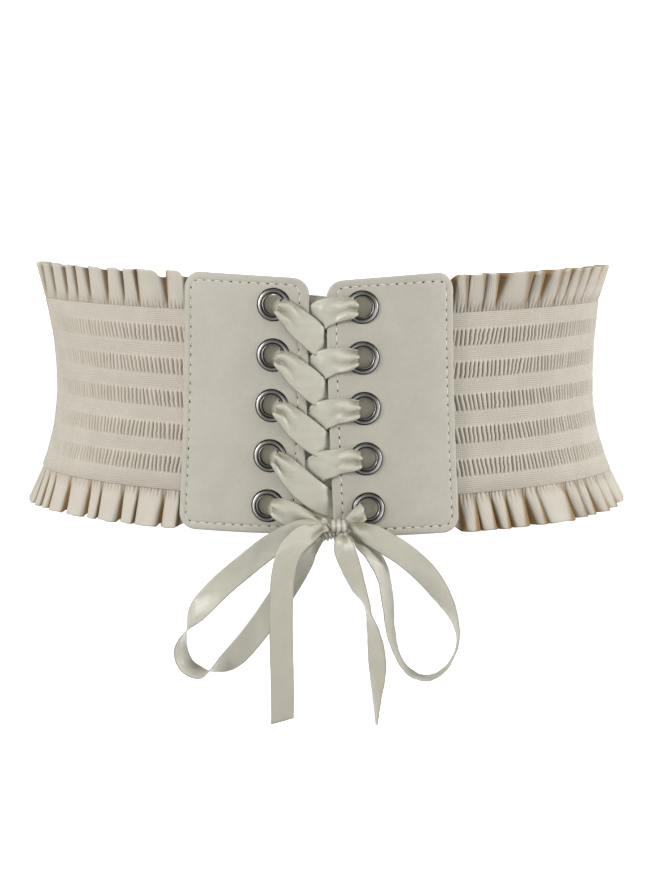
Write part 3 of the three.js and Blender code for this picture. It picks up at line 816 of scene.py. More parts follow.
def makeEyelet(side, row):
    y = rowHeight(row)
    foot = Vector(panelWrap(side, panelValues["inner"], y, form["panelFace"]))
    above = Vector(panelWrap(side, panelValues["inner"], y, form["panelFace"] + 1))
    turn = Vector((0, 0, 1)).rotation_difference((above - foot).normalized()).to_matrix().to_4x4()
    bm = bmesh.new()
    polish = bm.verts.layers.float.new("polish")
    verts = [bm.verts.new((radius * mm, 0, height * mm)) for radius, height, _ in eyeletProfile]
    for vert, (_, _, amount) in zip(verts, eyeletProfile):
        vert[polish] = amount
    edges = [bm.edges.new((verts[k - 1], verts[k])) for k in range(len(verts))]
    bmesh.ops.spin(
        bm, geom=verts + edges, cent=(0, 0, 0), axis=(0, 0, 1), angle=2 * math.pi, steps=eyeletValues["steps"],
        use_merge=True,
    )
    bmesh.ops.remove_doubles(bm, verts=bm.verts, dist=1e-7)
    bmesh.ops.recalc_face_normals(bm, faces=bm.faces)
    for vert in bm.verts:  # painted reflection: round the ring the metal is lighter and darker by turns, darker at its top and foot
        angle = math.atan2(vert.co.y, vert.co.x)
        vert[polish] *= eyeletValues["polish"] + eyeletValues["uneven"] * math.cos(2 * angle + 0.5)
    bmesh.ops.transform(bm, matrix=Matrix.Translation(foot) @ turn, verts=bm.verts)
    name = f"eyelet{side['name']}{row + 1}"
    addPiece(name, meshFrom(bm, name), "metal", [f"eyelet_{side['node']}_{row + 1}"])


for side in sides:
    makePanel(side)
    makeStitches(side)
    for row in range(rowCount):
        makeEyelet(side, row)
print("panels, stitches and eyelets")

# elastic band
bandStart = float(eyeletSpread(panelValues["height"] / 2)) + panelValues["outer"] - 7
bandEnd = halfGirth - 0.15
bandValues = {
    "standOff": 0.4,
    "wall": 2.0,
    "stripeRise": 0.45,
    "sideRise": 0.12,
    "stripeHalf": 4.15,
    "stripeEdge": 5.6,
    "stripePitch": 15.8,
    "stripes": 5,
    "ribPitch": 2.4,
    "ribSteps": 6,
    "gapDepth": 1.4,
    "pucker": 0.1,
    "creaseShade": 0.85,
    "sideDepth": {"Left": 0.55, "Right": 0.9},  # share of the gap's depth that is left at the sides
    "relaxed": 0.262,  # metres, one half before it is stretched
    "leans": {  # lowest stripe first
        "Left": [-0.75, -0.6, 0.35, 0.55, 0.6],
        "Right": [-0.7, -0.75, -0.6, 0.45, 0.6],
    },
}
ribProfile = np.array([0.0, 0.68, 0.96, 1.0, 0.98, 0.84])


def bandRows():  # heights of the outer face's rows, and for each the stripe and the place in it
    half = bandValues["stripeHalf"]
    shares = (-1, -0.93, -0.81, -0.55, -0.27, 0, 0.27, 0.55, 0.81, 0.93, 1)
    rows = [(form["bottomSeam"], -1, 0.0), (form["bottomSeam"] + 0.5, -1, 0.0)]
    for k in range(bandValues["stripes"]):
        middle = form["bandCentre"] + (k - 2) * bandValues["stripePitch"]
        rows += [(middle - bandValues["stripeEdge"], -1, 0.0)]
        rows += [(middle + share * half, k, share * half) for share in shares]
        rows += [(middle + bandValues["stripeEdge"], -1, 0.0)]
    rows += [(form["topSeam"] - 0.5, -1, 0.0), (form["topSeam"], -1, 0.0)]
    return rows


def bandDrop(side, along, height):  # worn, one half hangs a little lower than the other
    share = np.clip((height - form["bottomSeam"]) / (form["topSeam"] - form["bottomSeam"]), 0, 1)
    low, high = side["drop"]
    return between(low, high, share ** 2) * (1 - smoothStep(200, 330, along))


def makeElastic(side):
    ribs = round((bandEnd - bandStart) / bandValues["ribPitch"])
    columns = ribs * bandValues["ribSteps"]
    outer = bandRows()
    inner = [(height, -1, 0.0) for height in np.linspace(form["topSeam"], form["bottomSeam"], 7)]
    rows = outer + inner + [outer[0]]
    heights, stripes, offsets = np.array(rows).T
    isInner = np.zeros(len(rows), bool)
    isInner[len(outer):-1] = True

    def shapeAt(u, v):
        column = np.rint(u * columns).astype(int)
        row = np.rint(v * (len(rows) - 1)).astype(int)
        along = between(bandStart, bandEnd, u)
        stripe, offset = stripes[row], offsets[row]
        ridge = ribProfile[column % bandValues["ribSteps"]]
        reach = np.abs(offset) / bandValues["stripeHalf"]
        inStripe = stripe >= 0
        envelope = np.where(inStripe, 1 - reach ** 8, 0)
        opening = np.where(inStripe, 1 - smoothStep(0.86, 0.985, reach), 0)
        shift = np.zeros_like(along)
        for k in range(bandValues["stripes"]):
            seed = 11 + k * 7 + (50 if side["sign"] > 0 else 0)
            lean = bandValues["leans"][side["name"]][k] + ripple(along, seed, 42.0) * 0.55
            wander = ripple(along, seed + 1, 12.0) * 0.3
            bend = 0.1 + ripple(along, seed + 2, 31.0) * 0.16
            share = offset / bandValues["stripeHalf"]
            here = wander + lean * share - bend * np.sin(1.9 * math.pi * share)
            shift = np.where(stripe == k, here, shift)
        shift *= smoothStep(0, 4, along - bandStart) * smoothStep(0, 4, bandEnd - along)
        fade = between(1, bandValues["sideDepth"][side["name"]], smoothStep(95, 165, along))
        uneven = 0.85 + 0.3 * ripple(along + 3 * stripe, 23, 6.0)
        rise = between(bandValues["stripeRise"], bandValues["sideRise"], smoothStep(90, 160, along))
        out = bandValues["standOff"] + bandValues["wall"]
        out = out + rise * envelope * (0.2 + 0.8 * ridge)
        out = out - bandValues["gapDepth"] * fade * uneven * (1 - ridge) * opening
        pucker = ripple(along + heights[row] * 2, 31, 13.0) * ripple(heights[row] * 3 + along * 0.2, 32, 11.0)
        out = out + np.where(inStripe, 0, bandValues["pucker"] * pucker)
        out = np.where(isInner[row], bandValues["standOff"], out)
        edge = np.minimum(heights[row] - form["bottomSeam"], form["topSeam"] - heights[row])
        out = np.where((edge < 0.1) & ~isInner[row], out - 0.4, out)
        # painted shade: the gaps between the smocked ribs are marked darker, less so towards the sides
        crease = np.where(isInner[row], 0, ((1 - ridge) ** 2.1) * opening * (0.4 + 0.6 * fade))
        fallen = heights[row] - bandDrop(side, along, heights[row])
        points = onForm(side["sign"] * (along + shift), fallen, out)
        surface = np.stack([along, heights[row]], 1) / mapSpan
        marked = inStripe * (1 - 0.75 * smoothStep(95, 150, along))
        return points, surface, {"crease": crease * bandValues["creaseShade"], "stripe": marked}

    name = "elastic" + side["name"]
    mesh = shapedGrid(name, columns, len(rows) - 1, shapeAt, closed=True)
    piece = addPiece(name, mesh, "elastic", ["elastic_" + side["node"]])


for side in sides:
    makeElastic(side)
print("elastic band")

# ruffles
ruffleFolds = {  # from the panel outwards: width, depth share, how boxy, lean at the hem and hook, in millimetres
    "topLeft": [
        (10.0, 0.75, 0.0, 1.0, 0.0), (16.2, 1.05, 0.0, -2.0, 3.2), (9.0, 0.8, 0.3, -0.5, 0.2),
        (10.5, 0.9, 0.1, 0.5, 1.2), (12.5, 1.0, 0.2, -0.5, 1.0), (10.0, 0.9, 0.2, -0.5, 1.0),
        (9.0, 0.9, 0.4, 0.5, 0.3), (13.0, 1.1, 0.5, 1.5, 1.2), (17.0, 1.15, 0.2, 2.0, 1.8),
        (19.0, 1.15, 0.2, 1.5, 1.5),
    ],
    "bottomLeft": [
        (8.5, 0.7, 0.0, -1.0, 0.0), (15.2, 1.05, 0.1, -3.0, 1.6), (9.0, 0.85, 0.1, -0.5, 0.4),
        (14.2, 1.05, 0.2, -1.5, 1.2), (7.5, 0.8, 0.3, 0.3, 0.8), (15.8, 1.1, 0.1, 0.2, 1.6),
        (14.5, 1.05, 0.3, 0.8, 1.4), (8.0, 0.8, 0.3, 1.2, 0.5), (9.0, 0.9, 0.4, 1.5, 0.5),
    ],
    "topRight": [
        (8.0, 0.75, 0.2, -0.3, 0.2), (8.5, 1.0, 0.9, 0.0, 0.4), (7.0, 0.9, 0.9, 0.0, 0.6),
        (18.5, 1.1, 0.5, 2.0, 1.0), (7.2, 0.85, 0.2, 1.0, 1.0), (11.0, 1.0, 0.0, 3.0, 0.4),
        (7.0, 0.8, 0.2, 2.6, 0.2), (8.5, 0.9, 0.1, 2.6, 0.2), (8.0, 0.85, 0.2, 3.0, 0.2),
        (12.0, 1.0, 0.3, 3.2, 0.2),
    ],
    "bottomRight": [
        (9.0, 0.7, 0.3, 2.0, 0.2), (8.0, 0.9, 0.6, 2.6, 0.4), (8.0, 0.9, 0.2, 2.2, 0.4),
        (10.5, 1.0, 0.3, 1.0, 0.4), (8.2, 0.95, 0.0, 3.6, 0.4), (18.5, 1.15, 0.9, 2.6, 0.4),
        (8.2, 0.9, 0.2, 2.8, 0.3), (7.2, 0.8, 0.2, 2.8, 0.3), (10.5, 1.0, 0.1, 2.8, 0.3),
    ],
}
knifeFold = np.array([  # one fold, its steep side away from the panel: share of its width and of its depth
    (0.0, 0.03), (0.06, 0.16), (0.15, 0.38), (0.28, 0.58), (0.44, 0.76), (0.6, 0.89), (0.74, 0.97), (0.85, 1.0),
    (0.9, 0.94), (0.94, 0.74), (0.97, 0.42), (1.0, 0.03),
])
valleyFold = np.array([  # one fold with a wide valley before it
    (0.0, 0.03), (0.1, 0.05), (0.19, 0.14), (0.28, 0.38), (0.38, 0.64), (0.5, 0.84), (0.64, 0.96), (0.78, 1.0),
    (0.88, 0.97), (0.95, 0.8), (0.985, 0.5), (1.0, 0.03),
])
boxFold = np.array([  # one fold that is steep on both sides
    (0.0, 0.03), (0.0, 0.3), (0.02, 0.58), (0.09, 0.84), (0.27, 0.98), (0.55, 1.0), (0.76, 0.99), (0.86, 0.9),
    (0.92, 0.72), (0.96, 0.48), (0.985, 0.24), (1.0, 0.03),
])
ruffleShape = {
    "depth": 6.6,
    "base": 0.9,  # how far the creases stand off the form
    "wall": 0.00055,
    "foldSteps": 36,
    "pressed": 0.38,  # how much flatter the folds lie on the left side
    "gather": 0.8,
    "gatherPitch": 2.0,
    "underPanel": 0.86,
    "bulge": 0.05,  # how much fuller a fold is below its hem
    "hemTurn": (0.17, 198.0, 34.0),  # bottom right only: share of the height, place and reach in millimetres
    "leanShade": {"top": 0.8, "bottom": 1.0},  # how strong the painted shade is on the edge that leans over
    "valley": {"Left": (0.0, 0.3, 0.75), "Right": (0.55, 0.75, 0.95)},  # start, growth and shade of the valleys
    "gatherShade": 0.95,
    "backShade": 0.55,
    "creaseShade": 0.95,
    "rows": [-0.16, -0.02, 0.03, 0.08, 0.15, 0.24, 0.34, 0.45, 0.57, 0.69, 0.8, 0.89, 0.95, 1.0],
}


def foldTable(key, start, seed):
    rng = np.random.RandomState(seed)
    rows = [list(row) for row in ruffleFolds[key]]
    lean = rows[-1][3] * 0.3
    while start + sum(row[0] for row in rows) < bandEnd - 14:
        width = rng.choice([8, 9.5, 11, 13, 15]) * rng.uniform(0.92, 1.08)
        depth = 0.8 + 0.3 * (width - 8) / 8 + rng.uniform(-0.06, 0.06)
        rows.append([width, depth, rng.uniform(0, 0.7), lean + rng.uniform(-1.2, 1.2), rng.uniform(0.2, 1.5)])
    rows.append([bandEnd - start - sum(row[0] for row in rows), 0.7, 0.3, 0.0, 0.2])
    return np.array(rows)


def makeRuffle(side, edge, seed):
    up = 1 if edge == "top" else -1
    values = ruffleShape
    panelEdge = float(eyeletSpread(up * panelValues["height"] / 2)) + panelValues["outer"] + 0.6
    table = foldTable(edge + side["name"], panelEdge, seed)
    widths, depths, boxes, leans, hooks = table.T
    starts = panelEdge + np.concatenate([[0], np.cumsum(widths)[:-1]])
    steps, hidden = values["foldSteps"], 8
    columns = hidden + steps * len(widths)
    seam = form["topSeam"] if up > 0 else form["bottomSeam"]
    rowShares = np.array(values["rows"])
    towardsPanel = side["sign"] < 0  # every fold leans to the viewer's right
    leaning = knifeFold if towardsPanel else valleyFold
    knife, box = (smoothThrough(shape, steps) for shape in (leaning, boxFold))
    if towardsPanel:
        knife, box = (np.stack([1 - shape[::-1, 0], shape[::-1, 1]], 1) for shape in (knife, box))

    def shapeAt(u, v):
        column = np.rint(u * columns).astype(int)
        share = rowShares[np.rint(v * (len(rowShares) - 1)).astype(int)]
        fold = np.clip((column - hidden) // steps, 0, len(widths) - 1)
        step = np.clip(column - hidden - fold * steps, 0, steps)
        part = step / steps
        grown = np.clip(share, 0, 1)
        width, depth, boxy = widths[fold], depths[fold], boxes[fold]
        here = knife[step] * (1 - boxy[:, None]) + box[step] * boxy[:, None]
        edgePart = 1 - part if towardsPanel else part  # 1 at the edge that leans over
        before, after = np.maximum(fold - 1, 0), np.minimum(fold + 1, len(widths) - 1)
        lean = np.where(
            part < 0.5, leans[before] * (0.5 - part) + leans[fold] * (0.5 + part),
            leans[fold] * (1.5 - part) + leans[after] * (part - 0.5),
        )
        opening = 0.08 + 0.92 * grown ** 0.85
        bulge = 1 + values["bulge"] * np.sin(math.pi * grown ** 0.8)
        spread = smoothStep(0, 0.35, grown)
        along = starts[fold] + width * (part + (here[:, 0] - part) * (0.25 + 0.75 * spread))
        along = along + side["sign"] * lean * grown
        pressed = values["pressed"] if towardsPanel else 0.0
        fullness = depth * opening * bulge * here[:, 1] * (1 - pressed) + 0.6 * pressed * grown
        out = values["base"] + values["depth"] * fullness
        soft = 0.28 * ripple(part * 14 + fold * 5, seed + 3, 9) * grown * here[:, 1]
        gathers = values["gather"] * (1 - smoothStep(0.02, 0.42, share))
        ruck = np.abs(np.sin(math.pi * (along + 0.7 * ripple(along, seed + 4, 15)) / values["gatherPitch"])) ** 0.7
        out = out + soft + gathers * (ruck - 0.6)
        hiddenAlong = between(bandStart, panelEdge, np.clip(column / hidden, 0, 1))
        underPanel = column < hidden
        along = np.where(underPanel, hiddenAlong, along)
        out = np.where(underPanel, values["base"], out)
        behind = share < -0.1
        out = np.where(behind, 0.0, out)
        nearPanel = 1 - smoothStep(0, 3.5, along - panelEdge + 1)
        length = 1 - (1 - values["underPanel"]) * nearPanel
        if side["sign"] > 0 and up < 0:  # the hem turns up where it passes round the side
            amount, middle, span = values["hemTurn"]
            length = length * (1 - amount * np.exp(-(((along - middle) / span) ** 2)))
        hook = smoothStep(0.5, 0.92, edgePart) if up > 0 else smoothStep(0.82, 0.97, edgePart)
        wander = 0.3 * ripple(along, seed + 9, 17)
        fall = np.where(underPanel, 0, (wander + hooks[fold] * hook) * grown ** 3)
        stretched = form["hemHeight"] * share * length - np.where(share > 0, fall, 0)
        out = out + 0.15 * np.exp(-(((share - 0.94) / 0.04) ** 2)) * (1 - underPanel)
        along = np.minimum(along, bandEnd)
        height = seam + up * stretched
        points = onForm(side["sign"] * along, height - bandDrop(side, along, height), out)
        # painted shade: the edge that leans over, the valley before each fold and the gathers at the seam are
        # marked darker, weaker towards the back
        place = 1 - here[:, 0] if towardsPanel else here[:, 0]
        if towardsPanel:
            flank = smoothStep(0.86, 0.92, place) * (1 - smoothStep(0.5, 0.9, here[:, 1]))
        else:  # painted shade: a dark wedge that widens to the hem
            flank = smoothStep(0.84 - 0.3 * grown, 0.98 - 0.2 * grown, place)
        start, growth, shade = values["valley"][side["name"]]
        deep = shade * (1 - smoothStep(start, 1.0, here[:, 1] / (0.2 + growth * grown)))
        crease = np.maximum(flank * values["leanShade"][edge], deep) * (0.4 + 0.6 * spread)
        gathered = (1 - ruck) ** 1.4 * (1 - smoothStep(0.05, 0.3, share))
        crease = np.maximum(crease, values["gatherShade"] * gathered)
        crease = crease * between(1, values["backShade"], smoothStep(150, 200, along))
        crease = np.where(underPanel | behind, 0, crease)
        surface = np.stack([starts[fold] + width * part * 1.6 + fold * 3, share * form["hemHeight"]], 1) / mapSpan
        return points, surface, {"crease": crease * values["creaseShade"]}

    name = f"{edge}Ruffle{side['name']}"
    mesh = shapedGrid(name, columns, len(rowShares) - 1, shapeAt)
    piece = addPiece(name, mesh, "ruffle", [f"{edge}_ruffle_{side['node']}"])
    giveWall(piece, "clothWall", values["wall"])


for number, (side, edge) in enumerate([(s, e) for s in sides for e in ("top", "bottom")]):
    makeRuffle(side, edge, 40 + number * 13)
print("ruffles")

# backing and back closure
backingSize = {
    "low": -56.0, "high": 52.2, "reach": 31.0, "margin": 4.0, "wall": 0.001, "standOff": 0.5, "edgeRise": 2.0,
    "ease": 0.12,
}


def makeBacking():
    def shapeAt(u, v):
        left = -backingSize["reach"] - backingSize["margin"]
        along = between(left, backingSize["reach"], u)
        height = between(backingSize["low"], backingSize["high"], v)
        rise = backingSize["edgeRise"] * (1 - smoothStep(0, 5, along - left))
        out = backingSize["standOff"] + rise + backingSize["ease"] * ripple(height + along, 71, 30)
        return onForm(along, height, out), np.stack([along, height], 1) / mapSpan, {}

    mesh = shapedGrid("lacingBacking", 60, 80, shapeAt)
    piece = addPiece("lacingBacking", mesh, "backing", ["lacing_backing"])
    giveWall(piece, "clothWall", backingSize["wall"])


closureValues = {"half": 9.0, "edge": 2.95, "crown": 0.45, "seam": 0.3, "wall": 0.0009, "bevel": 0.0003}


def makeClosure():
    def shapeAt(u, v):
        shift = closureValues["half"] * (2 * u - 1)
        along = np.where(shift < 0, halfGirth + shift, shift - halfGirth)
        height = form["bandCentre"] + (form["topSeam"] - form["bottomSeam"]) * (v - 0.5)
        edge = closureValues["half"] - np.abs(shift)
        out = closureValues["edge"] + closureValues["crown"] * smoothStep(0, 2, edge)
        out = out - closureValues["seam"] * np.exp(-((edge - 2.2) ** 2) / 0.16)
        return onForm(along, height, out), np.stack([shift, height], 1) / mapSpan, {
            "crease": np.zeros_like(u), "stripe": np.zeros_like(u),
        }

    mesh = shapedGrid("backClosure", 40, 60, shapeAt)
    piece = addPiece("backClosure", mesh, "elastic", ["back_closure"])
    giveWall(piece, "clothWall", closureValues["wall"])
    rounding = piece.modifiers.new("softEdge", "BEVEL")
    rounding.width = closureValues["bevel"]
    rounding.segments = 2
    rounding.harden_normals = True


makeBacking()
makeClosure()
print("backing and back closure")

# lacing: strands come up through one hole and go down to the next, in millimetres
laceFromLeft = [
    ("eyelet", 2.9, -1, "panel", -0.7, 0.68, 25),
    ("eyelet", 2.9, -1, "flange", -0.3, 0.7, 25),
    ("eyelet", 4.0, -1.7, "flange", 0.75, 0.8, 28),
    ("eyelet", 6.4, -3.4, "flange", 0.85, 0.95, 34),
    ("eyelet", 9.6, -6.5, "flange", 0.2, 1.1, 36),
    ("eyelet", 12.8, -9.4, "panel", 0.85, 1.2, 36),
    ("edge", -0.5, -12.3, "panel", 0.7, 1.24, 36),
    ("gap", 0, -16.5, "panel", 0.5, 1.26, 20),
    ("far", -0.9, -19.5, "back", -0.75, 1.24, 2),
    ("far", 3, -20.8, "back", -1.1, 1.0, 8),
    ("farEyelet", -9, -22.4, "back", -1.3, 0.75, 10),
    ("farEyelet", -4.8, -24.2, "back", -1.4, 0.6, 6),
    ("farEyelet", -3.4, -24.8, "back", -1.3, 0.5, 2),
    ("farEyelet", -3, -24.9, "back", -0.6, 0.5, 0),
    ("farEyelet", -3, -24.9, "back", 0.7, 0.5, 0),
]
laceFromRight = [
    ("eyelet", 3.0, -0.2, "panel", -0.7, 0.7, 0),
    ("eyelet", 3.0, -0.2, "flange", -0.3, 0.72, 0),
    ("eyelet", 4.1, -0.3, "flange", 0.75, 0.82, 0),
    ("eyelet", 6.5, -0.5, "flange", 0.85, 0.95, 2),
    ("eyelet", 9.6, -0.8, "flange", 0.2, 1.05, 3),
    ("eyelet", 12.8, -1.1, "panel", 0.85, 1.12, 4),
    ("edge", -0.5, -2.0, "panel", 0.7, 1.2, 12),
    ("gap", -2.4, -2.9, "panel", 0.4, 1.24, 18),
    ("gap", 0.6, -5.0, "back", 0.5, 1.26, 24),
    ("far", -0.9, -8.6, "back", -0.75, 1.24, 20),
    ("far", 2.6, -11, "back", -0.85, 1.05, 22),
    ("farEyelet", -8.5, -17.6, "back", -1.1, 0.72, 34),
    ("farEyelet", -4.8, -21.8, "back", -1.4, 0.52, 16),
    ("farEyelet", -3.4, -22.3, "back", -1.3, 0.48, 4),
    ("farEyelet", -3, -22.4, "back", -0.6, 0.48, 0),
    ("farEyelet", -3, -22.4, "back", 0.7, 0.48, 0),
]
lastFromLeft = [
    ("eyelet", 2.9, -0.4, "panel", -0.7, 0.7, 8),
    ("eyelet", 2.9, -0.4, "flange", -0.3, 0.72, 8),
    ("eyelet", 4.0, -0.8, "flange", 0.75, 0.82, 10),
    ("eyelet", 6.4, -1.6, "flange", 0.95, 1.0, 16),
    ("eyelet", 10.5, -3.5, "flange", 0.5, 1.1, 22),
    ("eyelet", 16, -5.6, "panel", 1.4, 0.95, 20),
    ("gap", -2, -7.2, "panel", 1.7, 0.66, 12),
    ("gap", 4.4, -7.9, "panel", 3, 0.42, 6),
]
lastFromRight = [
    ("eyelet", 2.6, -0.9, "panel", -0.7, 0.66, 20),
    ("eyelet", 2.6, -0.9, "flange", -0.3, 0.68, 20),
    ("eyelet", 3.6, -1.7, "flange", 0.75, 0.74, 32),
    ("eyelet", 5.8, -3.4, "flange", 1.1, 0.7, 40),
    ("eyelet", 8.4, -5.0, "flange", 1.4, 0.5, 42),
    ("eyelet", 9.6, -5.7, "flange", 1.6, 0.36, 42),
]
ribbonShape = {
    "width": 11.0, "wall": 0.00038, "across": 16, "flangeTop": 6.9, "lastStretch": 1.16, "barOut": 1.55,
}


def laceStations(route, side, row):
    height = side["centre"] + rowHeight(row)
    here, below = (float(eyeletSpread(rowHeight(k))) for k in (row, min(row + 1, rowCount - 1)))
    lines = {
        "eyelet": -here, "edge": panelValues["inner"] - here, "gap": 0,
        "far": below - panelValues["inner"], "farEyelet": below,
    }
    layers = {"panel": form["panelFace"], "flange": ribbonShape["flangeTop"], "back": form["panelBack"]}
    rows = []
    stretch = ribbonShape["lastStretch"] if row == rowCount - 2 and side["sign"] < 0 else 1
    for start, across, down, over, out, width, lean in route:
        along = -side["sign"] * (lines[start] + across)
        down *= 1 if start == "farEyelet" else stretch
        before, point, after = (onForm(along + step, height + down, layers[over] + out) for step in (-0.5, 0, 0.5))
        girthwise = (after - before) / np.linalg.norm(after - before) * -side["sign"]
        turn = math.radians(lean)
        line = girthwise * math.sin(turn) + np.array([0, 0, math.cos(turn)])
        rows.append([*point, *(line / np.linalg.norm(line)), width * ribbonShape["width"] * mm])
    return rows


def makeRibbon(name, stations, columns, nodes, folds, seed, flat=1.0, cut=0.0, tone=(0.0, 0.0)):
    line = smoothThrough(stations, columns)
    points, edgeways, widths = line[:, :3], line[:, 3:6], line[:, 6]
    edgeways /= np.linalg.norm(edgeways, axis=1)[:, None]
    runs = np.gradient(points, axis=0)
    runs /= np.linalg.norm(runs, axis=1)[:, None]
    faces = np.cross(runs, edgeways)
    faces /= np.linalg.norm(faces, axis=1)[:, None]
    if faces[len(faces) // 2][1] > 0:
        faces = -faces
    lengths = runLengths(points)
    full = ribbonShape["width"] * mm * flat

    def shapeAt(u, v):
        k = np.rint(u * columns).astype(int)
        across = 2 * v - 1
        squeezed = np.clip(1 - (widths[k] / full) ** 2, 0, 1)
        at = lengths[k] / mm
        ends = smoothStep(0.5, 3, at) * smoothStep(1.5, 5, lengths[-1] / mm - at)
        phase = across * math.pi * folds + 1.2 * ripple(at + across * 3, seed, 21)
        pleat = np.sin(phase) * 0.15 * squeezed * ends
        soft = 0.014 * ripple(at + across * 7, seed + 2, 17) + 0.008 * ripple(at - across * 9, seed + 5, 8)
        arch = 0.03 * (1 - across ** 2)
        lift = (pleat + soft + arch) * full
        side = across * widths[k] / 2
        slant = cut * full * across * smoothStep(-9, 0, at - lengths[-1] / mm)
        placed = points[k] + edgeways[k] * side[:, None] + faces[k] * lift[:, None] + runs[k] * slant[:, None]
        # painted shade in the valleys of the pleats and where the ribbon is pinched narrow
        crease = np.clip(0.2 - 1.3 * np.sin(phase), 0, 1) * squeezed * ends + 0.35 * squeezed ** 2
        # painted shade that grows along the piece from the first to the second value of tone
        crease = crease + between(*tone, lengths[k] / lengths[-1])
        return placed, np.stack([at / mapSpan, v], 1), {"crease": np.clip(crease, 0, 0.9)}

    mesh = shapedGrid(name, columns, ribbonShape["across"], shapeAt)
    piece = addPiece(name, mesh, "ribbon", nodes)
    giveWall(piece, "ribbonWall", ribbonShape["wall"])
    return piece, points


def makeLacing():
    for row in range(rowCount - 1):
        for side, route in zip(sides, (laceFromLeft, laceFromRight)):
            name = f"lace{side['name']}{row + 1}"
            stations = laceStations(route, side, row)
            node = f"lace_{side['node']}_{row + 1}"
            makeRibbon(name, stations, 90, [node], 2.0, 100 + row * 5 + side["sign"], 1.22)
    last = rowCount - 1
    makeRibbon("laceLeft5", laceStations(lastFromLeft, sides[0], last), 60, ["lace_left_5"], 1.7, 131, 1.15)
    makeRibbon("laceRight5", laceStations(lastFromRight, sides[1], last), 44, ["lace_right_5"], 1.2, 137, 0.9)


def makeLaceBar():
    spread = float(eyeletSpread(rowHeight(0)))
    low = ribbonShape["barOut"]
    half = [
        (2.8, form["panelFace"] - 1.4, 0.5), (2.8, form["panelBack"] - 0.4, 0.5), (3.3, low + 0.4, 0.5),
        (5, low, 0.56), (9, low, 0.8), (15, low, 0.92),
    ]
    stops = [(across - spread, out, width, sides[0]["centre"]) for across, out, width in half]
    stops += [(spread - across, out, width, sides[1]["centre"]) for across, out, width in reversed(half)]
    stations = [
        [*onForm(along, rowHeight(0) + centre - 0.4, out), 0, 0, 1, width * ribbonShape["width"] * mm]
        for along, out, width, centre in stops
    ]
    makeRibbon("laceBar", stations, 70, ["lace_bar"], 1.5, 151)


makeLacing()
makeLaceBar()
print("lacing")

# bow: x, y, z in millimetres and the turn of the ribbon about its run, in degrees
bowRoutes = {
    "bowLoopLeft": [
        (5.3, -111.8, -54.2, 60), (-1.5, -112.3, -55.4, 30), (-10.5, -112.5, -58.6, 8), (-22, -112.5, -64.6, 0),
        (-33.5, -112.6, -73.6, 0), (-45.5, -113, -83.8, 8), (-55.5, -113.5, -94.6, 35), (-61.4, -114, -104, 88),
        (-64.2, -114, -113, 118), (-61.6, -113.6, -120.8, 120), (-55, -113.2, -124.6, 108),
        (-47.6, -113, -123, 60), (-38.5, -112.8, -116.4, 16), (-28.5, -112.6, -104.6, 0),
        (-19.5, -112.6, -91.6, 0), (-11, -112.4, -79, 18), (-3.4, -111.8, -66.6, 40), (2.8, -110.6, -60.2, 60),
    ],
    "bowLoopRight": [
        (14.5, -111.8, -54.8, 40), (21.5, -112.4, -57.4, 8), (30.5, -112.6, -62, 0), (41, -112.6, -68.6, 0),
        (51, -112.8, -77.6, 12), (59, -113.2, -88.6, 42), (64.4, -113.6, -99.8, 72), (65.6, -113.8, -110, 90),
        (61, -113.8, -120.8, 92), (52, -113.6, -126.4, 88), (43.2, -113.4, -123.6, 84),
        (37.4, -113.2, -115.2, 80), (34.4, -113, -104, 70), (33, -112.8, -91, 62), (31.4, -112.6, -80.5, 60),
        (28.6, -112.4, -73, 55), (24.6, -111.8, -67.2, 60), (19.6, -111.2, -62.8, 62), (14.8, -110.6, -58.8, 62),
    ],
    "bowTailLeft": [
        (4.8, -114.6, -55, 62), (-2, -116.2, -57, 34), (-8.6, -117.6, -61, 14), (-13.4, -118.4, -68, 4),
        (-15.9, -118.6, -79, 0), (-16.7, -118.4, -95, 0), (-16.6, -118, -112, -6), (-16.2, -117.8, -129, 4),
        (-16.2, -117.6, -146.6, 10),
    ],
    "bowTailRight": [
        (10.2, -113.4, -58.2, 20), (12, -117, -63, 20), (14.2, -118.4, -69, 24), (17, -118, -77, 36),
        (20.8, -116.6, -87, 58), (23.6, -114.2, -94, 76), (26.2, -114, -104, 58), (27.8, -113.8, -115, 42),
        (28.2, -113.6, -125, 48), (27.9, -113.6, -137, 70), (27.6, -113.6, -148, 84),
    ],
}
bowPieces = [  # pinch: width shares at the two ends, reach: millimetres over which the full width is back, tone: painted shade at the start and at the end
    {"name": "bowLoopLeft", "node": "bow_loop_left", "columns": 150, "end": "object", "seed": 161,
     "pinch": (0.5, 0.5), "reach": 15, "cut": 0.0, "tone": (0.0, 0.05)},
    {"name": "bowLoopRight", "node": "bow_loop_right", "columns": 150, "end": "object", "seed": 167,
     "pinch": (0.5, 0.5), "reach": 14, "cut": 0.0, "tone": (0.0, 0.1)},
    {"name": "bowTailLeft", "node": "bow_tail_left", "columns": 80, "end": "bare", "seed": 173,
     "pinch": (0.55, 1.0), "reach": 13, "cut": 0.17, "tone": (0.0, 0.22)},
    {"name": "bowTailRight", "node": "bow_tail_right", "columns": 80, "end": "bare", "seed": 179,
     "pinch": (0.6, 1.0), "reach": 10, "cut": 0.0, "tone": (0.05, 0.25)},
]


